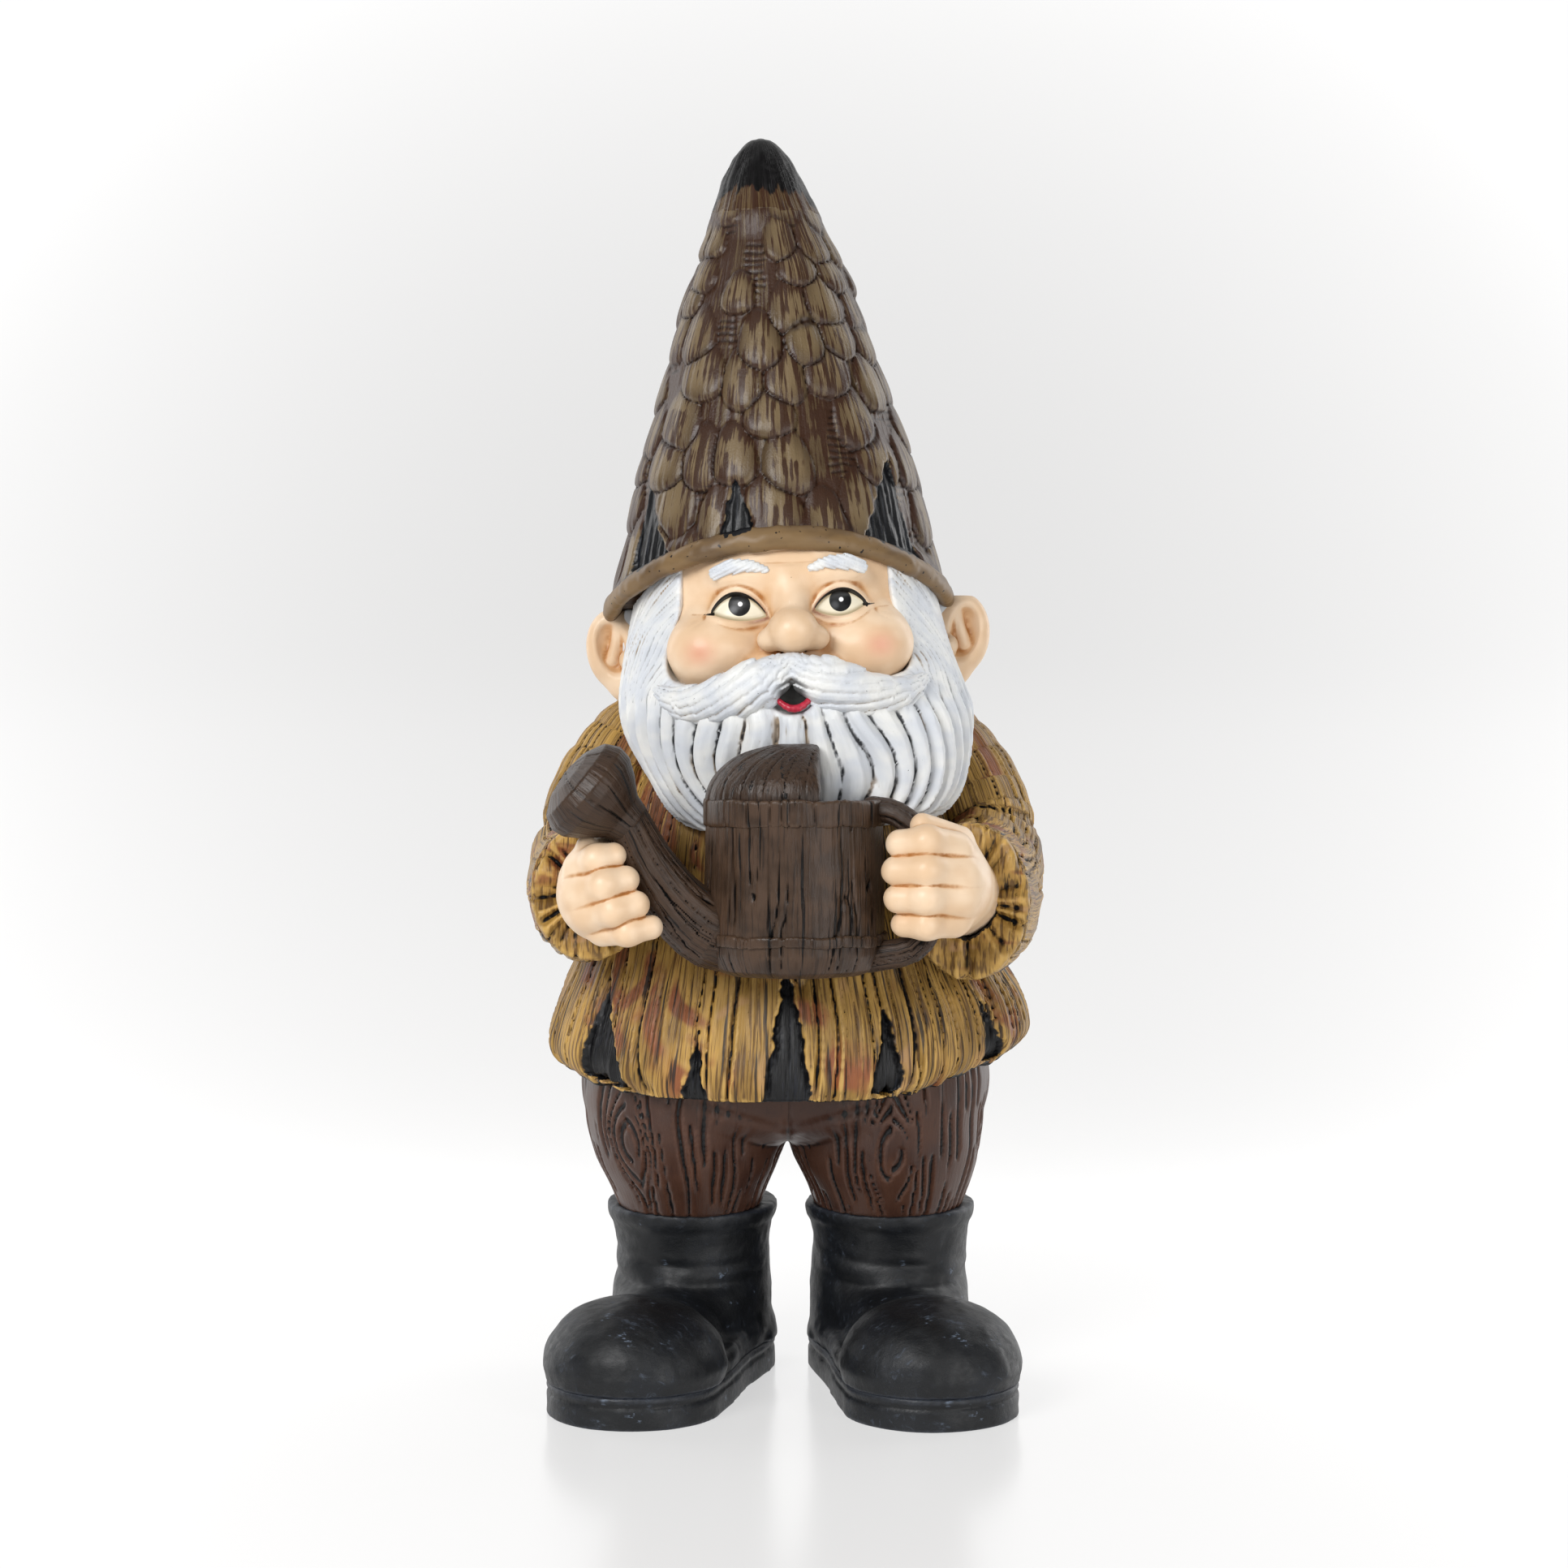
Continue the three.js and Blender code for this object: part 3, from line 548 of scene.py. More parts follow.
def skin_material():
    """Peach with ochre washed into its creases, and the eyes painted on it by masks in millimetres. Ochre
    in the broad hollows is partly wash and partly painted shade, and the whites of the eyes darken towards
    the lids as painted shade.
    """
    paint = Paint("skin_paint")
    patches = paint.noise(14, detail=2)
    brush = paint.noise(2.5, (1.6, 1, 1), detail=3)
    colour = paint.over("#e1c09c", "#ecd1b2", patches, 0.35, 0.65)
    washed = paint.ramp(paint.mask("crease"), 0.01, 0.16)
    broad = paint.ramp(paint.mask("hollow"), 0.02, 0.4)
    # Ochre in the broad hollows: partly an ochre wash, partly painted shade.
    colour = paint.mix(paint.times(broad, 0.55), colour, "#cf9858")
    uneven = paint.times(washed, paint.ramp(brush, 0.3, 0.6, 0.5, 1.0))
    colour = paint.mix(uneven, colour, "#a66a30")
    specks = paint.noise(0.8, detail=1)
    colour = paint.over(colour, "#6b4a2c", specks, 0.8, 0.84, 0.7)
    colour = paint.mix(paint.times(paint.mask("blush"), 0.45), colour, "#d06c5c")
    colour = paint.mix(paint.times(paint.mask("rim"), 0.85), colour, "#7d3a1c")
    # The whites darken from cream to a dull grey-beige towards the lids: painted shade.
    white = paint.over("#b9a886", "#efe7d0", paint.mask("white"), 0.1, 1.6)
    colour = paint.mix(paint.ramp(paint.mask("white"), -0.02, 0.1), colour, white)
    u, v = paint.mask("eye_u"), paint.mask("eye_v")
    away = paint.distance(u, v)
    glow = paint.distance(paint.math("ADD", u, 1.9), paint.math("ADD", v, 1.5))
    iris = paint.over("#050506", "#47494c", glow, 1.9, 0.4)
    seen = paint.math("MINIMUM", paint.math("SUBTRACT", IRIS_RADIUS, away), paint.mask("white"))
    colour = paint.mix(paint.ramp(seen, 0.0, 0.12), colour, iris)
    spark = paint.distance(paint.math("SUBTRACT", u, 0.3), paint.math("SUBTRACT", v, 0.3))
    colour = paint.over(colour, "#ffffff", spark, 0.85, 0.65)
    colour = paint.over(colour, "#0d0908", paint.mask("liner"), 0.0, 0.12)
    colour = paint.over(colour, "#3a2416", paint.mask("nostril"), 0.0, 0.5, 0.9)
    colour = paint.over(colour, "#454643", paint.mask("mouth"), 0.1, 0.5)
    rough = paint.ramp(brush, 0.3, 0.7, 0.4, 0.5)
    return paint.finish(colour, rough, brush, 0.14, coat=0.2)


def hair_material():
    paint = Paint("hair_paint")
    fine = paint.noise(1.1, (1, 1, 8), detail=3)
    patches = paint.noise(11, detail=2)
    colour = paint.over("#d0d4da", "#e6e6e3", patches, 0.35, 0.7)
    colour = paint.over(colour, "#8f9093", paint.mask("crease"), 0.03, 0.3)
    # Ochre in the creases is a stain on the beard and back hair, and painted shade on the underside of the
    # moustache.
    ochre = paint.times(paint.mask("stain"), paint.ramp(paint.mask("crease"), 0.0, 0.16))
    colour = paint.mix(paint.times(ochre, 0.75), colour, "#94764a")
    # Near-black in the deep creases is a dark wash low on the beard and back hair, and painted shade on
    # the underside of the moustache.
    deep = paint.times(paint.ramp(paint.mask("crease"), 0.05, 0.24), paint.mask("deep"))
    gappy = paint.ramp(paint.noise(4.0, (1, 1, 2), detail=3), 0.36, 0.5)
    colour = paint.mix(paint.math("MULTIPLY", deep, gappy, clamp=True), colour, "#16181d")
    colour = paint.over(colour, "#4a4c4b", paint.mask("mouth"), 0.25, 0.8, 0.92)
    specks = paint.noise(0.9, detail=1)
    colour = paint.over(colour, "#3a3b3d", specks, 0.78, 0.81)
    return paint.finish(colour, paint.ramp(fine, 0.3, 0.7, 0.42, 0.58), fine, 0.25, coat=0.08)


def jacket_material():
    """Mustard and umber bark, black in its cracks, with the torn parts blue-black. Blue-black is also laid
    under the hem and deep inside the cuffs as painted shade.
    """
    paint = Paint("jacket_paint")
    fine = paint.noise(1.2, (1, 1, 28), detail=3, rough=0.55)
    hair_lines = paint.noise(0.7, (1, 1, 30), detail=2)
    patches = paint.noise(12, (1, 1, 2.2), detail=3)
    tint = paint.noise(17, (1, 1, 1.5), detail=2, warp=0.5)
    crease = paint.mask("crease")
    fine = paint.math("SUBTRACT", fine, paint.times(paint.mask("plain"), 0.06))
    colour = paint.over("#8f6e35", "#bb934c", patches, 0.35, 0.65)
    colour = paint.over(colour, "#8a5230", tint, 0.54, 0.66)
    colour = paint.over(colour, "#b58c66", tint, 0.42, 0.32, 0.5)
    colour = paint.over(colour, "#4a2f16", hair_lines, 0.5, 0.6, 0.75)
    # Lighter ochre on raised ridges: partly dry-brushed wear, partly painted highlight.
    wear_and_highlight = paint.times(paint.ramp(crease, -0.05, -0.25), paint.ramp(fine, 0.56, 0.46))
    colour = paint.mix(paint.times(wear_and_highlight, 0.8), colour, "#cfa75d")
    colour = paint.over(colour, "#1c1611", fine, 0.58, 0.64, 0.9)
    colour = paint.over(colour, "#0b0a0c", crease, 0.05, 0.2)
    # The torn mask also holds the underside of the hem and the inside of the cuffs, where this blue-black
    # is painted shade.
    torn = paint.ramp(paint.mask("torn"), -0.2, 0.2)
    strands = paint.ramp(paint.noise(0.9, (1, 1, 12)), 0.52, 0.7)
    colour = paint.mix(torn, colour, paint.mix(strands, "#070709", "#191b21"))
    bump = paint.math("ADD", fine, paint.times(hair_lines, 0.6))
    rough = paint.ramp(patches, 0.3, 0.7, 0.42, 0.56)
    shine = paint.ramp(crease, 0.0, 0.2, 0.35, 0.05)
    return paint.finish(colour, rough, paint.times(bump, -1.0), 0.9, coat=0.08, shine=shine)


def trouser_material():
    paint = Paint("trouser_paint")
    fine = paint.noise(1.0, (1, 1, 9), detail=4)
    patches = paint.noise(15, detail=2)
    colour = paint.over("#3e261c", "#4b3023", patches, 0.35, 0.65)
    colour = paint.over(colour, "#2b1a14", fine, 0.56, 0.75, 0.5)
    # Lighter on raised ridges: partly dry-brushed wear, partly painted highlight.
    wear_and_highlight = paint.times(paint.ramp(paint.mask("crease"), -0.05, -0.25), 0.5)
    colour = paint.mix(wear_and_highlight, colour, "#684737")
    colour = paint.over(colour, "#0a0809", paint.mask("crease"), 0.04, 0.16)
    rough = paint.ramp(patches, 0.3, 0.7, 0.36, 0.48)
    return paint.finish(colour, rough, fine, 0.15, coat=0.15, shine=0.3)


def can_material():
    """Chocolate brown wood, black in its cuts. A mask that is 1 on the hood and rose and 0.5 on the spout
    and handle lays a darker brown there as painted shade.
    """
    paint = Paint("can_paint")
    fine = paint.noise(0.9, (1, 1, 14), detail=4)
    lines = paint.noise(1.8, (1, 1, 22), detail=3)
    patches = paint.noise(10, detail=2)
    crease = paint.mask("crease")
    colour = paint.over("#38291e", "#483527", patches, 0.35, 0.65)
    # Darker brown on the hood and rose, and half as much on the spout and handle: painted shade.
    colour = paint.mix(paint.times(paint.mask("aged"), 0.35), colour, "#2a1d15")
    colour = paint.over(colour, "#1a110c", fine, 0.52, 0.68, 0.65)
    colour = paint.over(colour, "#080606", lines, 0.61, 0.66, 0.95)
    # Lighter on raised ridges: partly dry-brushed wear, partly painted highlight.
    wear_and_highlight = paint.times(paint.ramp(crease, -0.08, -0.3), 0.4)
    colour = paint.mix(wear_and_highlight, colour, "#634d3b")
    colour = paint.over(colour, "#060505", crease, 0.03, 0.15)
    bump = paint.math("SUBTRACT", fine, paint.ramp(lines, 0.62, 0.68, 0.0, 1.5))
    shine = paint.ramp(crease, 0.0, 0.15, 0.3, 0.05)
    rough = paint.ramp(patches, 0.3, 0.7, 0.32, 0.44)
    return paint.finish(colour, rough, bump, 0.4, coat=0.06, shine=shine)


def boot_material():
    paint = Paint("boot_paint")
    dust = paint.noise(1.6, (3, 1, 1.6), detail=6, rough=0.7, warp=0.6)
    patches = paint.noise(17, detail=2)
    colour = paint.over("#0c0e11", "#14171c", patches, 0.35, 0.7)
    # Bluish-grey rubbed patches: partly rubbed wear, partly painted sheen.
    rubbed_and_sheen = paint.times(paint.ramp(dust, 0.54, 0.72), paint.ramp(patches, 0.42, 0.62))
    scratches = paint.ramp(paint.noise(0.6, (8, 2, 2), detail=3), 0.56, 0.62)
    scratches = paint.times(scratches, paint.ramp(paint.noise(9, detail=3), 0.6, 0.74))
    colour = paint.mix(paint.times(rubbed_and_sheen, 0.5), colour, "#4f5866")
    colour = paint.mix(paint.times(scratches, 0.6), colour, "#7c8a9e")
    # Lighter on raised ridges: partly dry-brushed wear, partly painted highlight.
    wear_and_highlight = paint.times(paint.ramp(paint.mask("crease"), -0.06, -0.25), 0.35)
    colour = paint.mix(wear_and_highlight, colour, "#454a55")
    colour = paint.over(colour, "#040405", paint.mask("crease"), 0.05, 0.25)
    return paint.finish(colour, paint.ramp(dust, 0.3, 0.7, 0.4, 0.55), dust, 0.15, coat=0.0, shine=0.4)


def lip_material():
    paint = Paint("lip_paint")
    brush = paint.noise(1.5, detail=2)
    colour = paint.over("#a31f33", "#c02f45", brush, 0.35, 0.65)
    return paint.finish(colour, paint.ramp(brush, 0.3, 0.7, 0.3, 0.42), brush, 0.05, coat=0.3)


# ---------------------------------------------------------------- hat

HAT = Loft(
    [
        [250, -1, 3, 62.5, 60.5],
        [271, -1.2, 3, 58.5, 57],
        [285, -1.4, 3, 55.4, 54],
        [300, -1.7, 3, 52.3, 51.3],
        [315, -2, 3, 48.9, 48.3],
        [340, -2.8, 3.4, 41.5, 41.2],
        [354, -3.3, 3.6, 37.5, 37.2],
        [372, -4, 4, 31.8, 31.6],
        [386, -4.6, 4.2, 26.9, 26.8],
        [405, -6.2, 4.5, 18.2, 18.2],
        [414, -7, 4.6, 14.4, 14.4],
        [421, -7.4, 4.7, 10.8, 10.8],
        [426, -7.7, 4.7, 7.3, 7.3],
        [429, -7.8, 4.7, 3.9, 3.9],
        [HEIGHT, -7.8, 4.7, 0.4, 0.4],
    ]
)
TIP_FOOT = 405.0
HAT_WRAP = 42.0
BRIM_SIDE, BRIM_RISE, BRIM_DROP, BRIM_TILT = 271.0, 22.0, 8.0, 2.5
BRIM_HALF, BRIM_BULGE = 4.2, 3.2  # half its height and half its thickness

# Torn notches above the brim: angle of the foot's middle, half its width, and of the apex, all in degrees
# from the front and positive towards the gnome's left, then the height in millimetres.
HAT_NOTCHES = [
    (-55, 11, -64, 31),
    (-15.5, 6.5, -17, 18),
    (47, 14, 53, 33),
    (98, 9, 95, 24),
    (147, 10, 152, 31),
    (-158, 8, -155, 21),
    (-108, 10, -112, 28),
]


def brim_height(angle):
    """Height of the middle of the brim: it lifts over the face and drops behind."""
    front = np.cos(angle)
    lift = np.where(front > 0, BRIM_RISE * np.abs(front) ** 1.3, BRIM_DROP * front)
    return BRIM_SIDE + lift + BRIM_TILT * np.sin(angle)


def torn_depth(angle, up, radius, notches, seed):
    """How deep a point lies inside the nearest torn notch, in millimetres along the surface."""
    degrees = np.degrees(angle)
    ragged = 0.8 * noise(up / 3.1, degrees / 4.0, up * 0, seed)
    ragged = ragged + 0.5 * noise(up / 1.1, degrees, up * 0, seed + 1)
    best = np.full_like(up, -50.0)
    for foot, half, apex, tall in notches:
        t = up / tall
        middle = foot + (apex - foot) * t
        off = np.abs((degrees - middle + 180) % 360 - 180)
        side = (half * (1 - t) - off) * math.pi / 180 * radius
        best = np.maximum(best, np.minimum(side, tall - up))
    return best + ragged


def petal_row(z):
    """Row number of a height on the hat: the rows get shorter towards the tip."""
    foot, tall, slope = 278.0, 17.5, 7.0 / 125
    return np.log(tall / np.maximum(tall - slope * (z - foot), 1.0)) / slope


def hat_petals(angle, z):
    """The carved petals at each point.

    Gives their height, 1 to 0 from a petal's middle to its edge, how far up it is, and room to the next.
    """
    row_at = petal_row(z)
    height, best = np.zeros_like(z), np.full_like(z, -1.0)
    drop, next_height = np.zeros_like(z), np.zeros_like(z)
    for dr in (-1, 0, 1):
        row = np.floor(row_at) + dr
        columns = np.maximum(19 - np.round(0.9 * np.maximum(row, 0)), 8)
        turn = angle / (2 * math.pi) * columns + 0.5 * (row % 2) + 7.2
        for dc in (-1, 0, 1):
            column = np.floor(turn) + dc
            owner = column % columns
            luck = [chance(owner, row, row * 0, 11 + i) for i in range(6)]
            dv = row_at - (row + 0.5 + 0.5 * (luck[1] - 0.5))
            dv = dv / (0.64 + 0.3 * luck[4])
            du = turn - (column + 0.5 + 0.4 * (luck[0] - 0.5)) + 0.15 * (luck[2] - 0.5) * dv
            wide = (0.45 + 0.16 * luck[3]) * (1 - 0.28 * np.clip(dv, -1, 1.5))
            away = (du / wide) ** 2 + np.abs(dv) ** 2.3
            dome = np.clip(1 - away, 0, 1) ** 0.45 * (2.0 + 1.2 * luck[5]) * (0.8 - 0.4 * dv)
            dome = np.where(luck[2] < 0.17, 0.0, dome)
            higher = dome > height
            next_height = np.where(higher, height, np.maximum(next_height, dome))
            height = np.where(higher, dome, height)
            best = np.where(higher, 1 - np.sqrt(away), best)
            drop = np.where(higher, dv, drop)
    return height, best, drop, height - next_height


def hatch_marks(p, petal):
    """Saw marks across some of the gaps between petals, from 0 to 1."""
    somewhere = noise(p[0] / 9, p[1] / 9, p[2] / 7, 5)
    chosen = step_between(0.3, 0.42, somewhere) * step_between(0.25, -0.05, petal)
    lines = 0.5 + 0.5 * np.sin(p[2] * 2.7 + 2.0 * noise(p[0] / 5, p[1] / 5, p[2] / 3, 6))
    return chosen * step_between(0.35, 0.9, lines)


def hat_field(p):
    angle, wall = HAT.polar(p)
    petals, petal, _, room = hat_petals(angle, p[2])
    up = p[2] - brim_height(angle) - BRIM_HALF
    fade = step_between(TIP_FOOT, TIP_FOOT - 12, p[2]) * step_between(0, 7, up)
    cut = step_between(0.45, 0.0, room) * step_between(0.0, 0.5, petals)
    q = wrapped(angle, HAT_WRAP, p[2])
    relief = fade * (petals - 2.4 - 0.7 * cut) + 0.3 * grain(q, 1.3, 14, 3)
    relief = relief - 0.3 * fade * hatch_marks(p, petal)
    radius = HAT.section(p[2])[2]
    torn = torn_depth(angle, up, radius, HAT_NOTCHES, 21)
    strands = 1.1 * np.abs(grain(q, 1.7, 18, 4))
    sunk = step_between(-0.6, 0.8, torn)
    relief = relief * (1 - sunk) + sunk * (strands - 2.6)
    foot = brim_height(angle) - p[2]
    return np.maximum(smooth_max(wall - relief, p[2] - TIP_FOOT, 0.2), foot)


def hat_masks(p, normals):
    angle, _ = HAT.polar(p)
    petals, petal, drop, room = hat_petals(angle, p[2])
    up = p[2] - brim_height(angle) - BRIM_HALF
    radius = HAT.section(p[2])[2]
    torn = torn_depth(angle, up, radius, HAT_NOTCHES, 21)
    return {
        "flow": wrapped(angle, HAT_WRAP, p[2]),
        "drop": drop,
        "petal": petal,
        "edge": step_between(0.9, 0.1, room) * step_between(0.1, 0.6, petals),
        "hatch": hatch_marks(p, petal),
        "torn": np.maximum(torn, -tip_edge(p, angle)),
    }


def build_hat(material):
    box = [-66, -64, 255], [66, 68, TIP_FOOT + 2]
    add_piece("hat_carving", "hat_body", material, hat_field, box, 0.7, hat_masks)


def tip_edge(p, angle):
    """How far below the ragged edge of the tip's black paint a point is: it lies higher in front."""
    edge = TIP_FOOT - 1.5 + 7.5 * step_between(-0.2, 0.9, np.cos(angle))
    return edge + 3.0 * grain(p, 1.8, 9, 8) - p[2]


def tip_field(p):
    calm = step_between(HEIGHT, HEIGHT - 8, p[2])
    angle, wall = HAT.polar(p)
    q = wrapped(angle, HAT_WRAP, p[2])
    wall = wall - calm * (0.5 * grain(p, 3.5, 8, 6) + 0.3 * grain(q, 1.3, 14, 3))
    return smooth_max(wall, np.maximum(TIP_FOOT - 1.5 - p[2], p[2] - HEIGHT), 0.4)


def tip_masks(p, normals):
    angle = HAT.polar(p)[0]
    return {"bare": tip_edge(p, angle), "flow": wrapped(angle, HAT_WRAP, p[2])}


def build_tip(material):
    box = [-32, -22, TIP_FOOT - 4], [18, 30, HEIGHT + 1]
    add_piece("hat_tip_carving", "hat_tip", material, tip_field, box, 0.6, tip_masks)


def brim_field(p):
    angle, wall = HAT.polar(p)
    up = p[2] - brim_height(angle)
    lumps = 0.5 * noise(angle * 9, p[2] / 9, p[2] * 0, 31)
    lumps = lumps + 0.25 * noise(angle * 25, p[2] / 3, p[2] * 0, 32)
    band = (np.sqrt(((wall + 1.0) / BRIM_BULGE) ** 2 + (up / BRIM_HALF) ** 2) - 1) * BRIM_BULGE
    return band - lumps * 0.6


def brim_masks(p, normals):
    angle, _ = HAT.polar(p)
    up = p[2] - brim_height(angle) - BRIM_HALF
    fringe = torn_depth(angle, np.maximum(up, 0.0), HAT.section(p[2])[2], HAT_NOTCHES, 21)
    reach = 2.4 * chance(np.floor(np.degrees(angle) / 1.6), angle * 0, angle * 0, 33)
    return {"torn": np.minimum(fringe, up + reach)}


def build_brim(material):
    box = [-68, -66, 254], [68, 70, 303]
    add_piece("hat_brim_roll", "hat_brim", material, brim_field, box, 0.7, brim_masks)


# ---------------------------------------------------------------- head
# The head's own frame stands upright. onto_head tilts it about PIVOT and puts it in the figure.

HEAD_X, HEAD_Y, PIVOT = 2.0, 1.0, 250.0
ROLL_COS, ROLL_SIN = math.cos(math.radians(2.7)), math.sin(math.radians(2.7))
FACE_X = 1.2
FACE_FRONT = -30
NOSE_X = 1.8
MOUTH_X = 0.4
MOUTH_Z = 242
EYE_Z = 271.4

SKULL = Loft(
    [
        [203, 0, 2, 30, 30],
        [212, 0, 1, 40, 39],
        [226, 0, 0, 47, 45],
        [242, 0, 0, 50, 48.5],
        [258, 0, 0, 51.0, 49.5],
        [274, 0, 0, 50.3, 50.0],
        [288, 0, 0, 48.2, 48.6],
        [300, 0, 1, 46.0, 46.5],
    ]
)
# Each eye: its side, the x of its iris, and from there its corners and how far it opens up and down.
EYES = [
    {"side": -1, "x": -15.6, "inner": (-9.0, -4.2), "outer": (9.5, -2.6), "top": 3.5, "bottom": -5.3},
    {"side": 1, "x": 18.0, "inner": (-8.8, -2.7), "outer": (8.6, -1.6), "top": 3.4, "bottom": -5.1},
]
IRIS_RADIUS = 3.75


def onto_head(points):
    x, y, z = points.T
    up = z - PIVOT
    return np.stack(
        [HEAD_X + x * ROLL_COS - up * ROLL_SIN, y + HEAD_Y, PIVOT + x * ROLL_SIN + up * ROLL_COS], 1
    )


def over_brim(p):
    """How far a point of the head's frame lies above the middle of the hat's brim."""
    up = p[2] - PIVOT
    x = HEAD_X + p[0] * ROLL_COS - up * ROLL_SIN
    z = PIVOT + p[0] * ROLL_SIN + up * ROLL_COS
    angle, _ = HAT.polar((x, p[1] + HEAD_Y, z))
    return z - brim_height(angle)


def hump(*offsets):
    """1 at the middle, falling smoothly to 0 over about one unit of every offset."""
    return np.exp(-sum(offset**2 for offset in offsets))


def almond(x, z, eye):
    """(distance inside the opening, place out and up from the iris, height of the upper lid there)."""
    u = (x - eye["x"]) * eye["side"]
    v = z - EYE_Z
    (u0, v0), (u1, v1) = eye["inner"], eye["outer"]
    t = (u - u0) / (u1 - u0)
    line = v0 + (v1 - v0) * t
    arch = np.clip(4 * t * (1 - t), -3, 1)
    middle = (v0 + v1) / 2
    upper = line + (eye["top"] - middle) * np.sign(arch) * np.abs(arch) ** 0.85
    lower = line + (eye["bottom"] - middle) * arch
    return np.minimum(upper - v, v - lower) * 0.8, u, v, upper


def eye_relief(p):
    """How far the eyes, lids and sockets stand out of the face."""
    relief = 0
    for eye in EYES:
        inside, u, v, upper = almond(p[0], p[2], eye)
        relief = relief - 2.6 * hump(u / 12.5, (v + 0.5) / 8.5)
        relief = relief + 2.7 * hump((u - 0.2) / 8.2, (v + 0.8) / 5.2)
        lid = np.where(v > -1.8, 0.95, 0.5) * hump((inside + 0.9) / 1.1)
        relief = relief + lid * step_between(13, 9, np.abs(u)) - 0.75 * step_between(-0.15, 0.45, inside)
        fold = v - (upper + 2.9 + 0.02 * u**2)
        relief = relief - 0.14 * hump(fold) * step_between(10, 6, np.abs(u))
        bag = v + 8.0 - 0.035 * (u + 1) ** 2
        relief = relief - 0.3 * hump(bag / 1.1) * step_between(12, 5, np.abs(u - 1))
        for turn in (-0.1, 0.28, 0.62):
            crow = v + 3.2 + turn * (u - 10)
            wrinkle = 0.3 * hump(crow / 0.6) * step_between(10.5, 12, u)
            relief = relief - wrinkle * step_between(17.5, 15, u)
    return relief


def head_field(p):
    x, y, z = p
    form = SKULL.field(p, 210, 300)
    for side in (-1, 1):
        cheek = ellipsoid(p, (side * 25.6 + 0.6, -39.5, 256.5), (15.8, 13.8, 13.6))
        form = smooth_min(form, cheek, 7.0)
        form = smooth_min(form, ellipsoid(p, (side * 13.5 + FACE_X, -45.2, 281.5), (11.5, 4.6, 5)), 7.0)
    wrinkles = sum(
        hump((z - height - 0.9 * np.cos(x / 9 + height)) / 0.55) * step_between(24, 12, np.abs(x))
        for height in (285.5, 288.2, 290.6)
    )
    front = step_between(FACE_FRONT, FACE_FRONT - 10, y)
    form = form - eye_relief(p) * front + 0.3 * wrinkles * front
    form = smooth_min(form, capsule(p, (NOSE_X - 0.5, -45.5, 279), (NOSE_X, -52, 266), 4.2, 5.8), 5.0)
    nose = ellipsoid(p, (NOSE_X, -57, 262.4), (8.5, 9.2, 7.7))
    for side in (-1, 1):
        wing = ellipsoid(p, (NOSE_X + side * 7.8, -53.8, 259.6), (4.2, 5.0, 4.0))
        nose = smooth_min(nose, wing, 2.6)
    form = smooth_min(form, nose, 2.0)
    for side in (-1, 1):
        nostril = ellipsoid(p, (NOSE_X + side * 3.9, -60, 254.6), (1.5, 2.6, 1.3))
        form = smooth_max(form, -nostril, 0.6)
    chin = ellipsoid(p, (MOUTH_X, -44, 243), (22, 14.5, 14))
    form = smooth_min(form, chin, 3.0)
    form = form - 0.12 * noise(x / 5, y / 5, z / 5, 41)
    return smooth_max(form, np.maximum(y - 14, over_brim(p)), 0.5)


def head_masks(p, normals):
    x, y, z = p
    white, liner, rim = [], [], []
    for eye in EYES:
        inside, u, v, upper = almond(x, z, eye)
        white.append(inside)
        thick = 0.5 + 0.4 * step_between(-9, 6, u)
        lash = thick - np.abs(v - upper - 0.2)
        lash = np.minimum(lash, step_between(-9.6, -7, u) * 1.2 - 0.35)
        u1, v1 = eye["outer"]
        run = (u - u1 + 1.2) / 5.6
        flick = 0.6 * (1 - run) - np.abs(v - v1 - 0.3 * eye["side"] * (u - u1) * 0.1 + 0.05)
        flick = np.where((run > 0) & (run < 1), flick, -1.0)
        liner.append(np.maximum(np.where(u < u1 + 0.2, lash, -1.0), flick))
        rim.append(hump((inside + 0.5) / 0.6) * step_between(3, -9, u))
    masks = {
        "white": white,
        "liner": liner,
        "rim": rim,
        "blush": [hump((x - side * 30.0 - 0.6) / 4.8, (z - 256.3) / 4.0) for side in (-1, 1)],
        "nostril": [0.85 - np.hypot(x - NOSE_X - side * 3.9, (z - 255.2) * 1.2) for side in (-1, 1)],
    }
    masks = {name: np.where(y < FACE_FRONT, np.maximum(*pair), -1.0) for name, pair in masks.items()}
    masks["mouth"] = hump((x - MOUTH_X) / 8.0, (z - MOUTH_Z) / 8.0) * step_between(-46, -50, y)
    masks["eye_u"] = np.where(x < (EYES[0]["x"] + EYES[1]["x"]) / 2, x - EYES[0]["x"], x - EYES[1]["x"])
    masks["eye_v"] = np.where(y < FACE_FRONT, z - EYE_Z, 99.0)
    return masks


def bare_skin(p, normals):
    bare = {name: p[0] * 0 - 1 for name in ("white", "liner", "nostril")}
    return bare | {"rim": p[0] * 0, "blush": p[0] * 0, "eye_u": p[0] * 0, "eye_v": p[0] * 0 + 99}


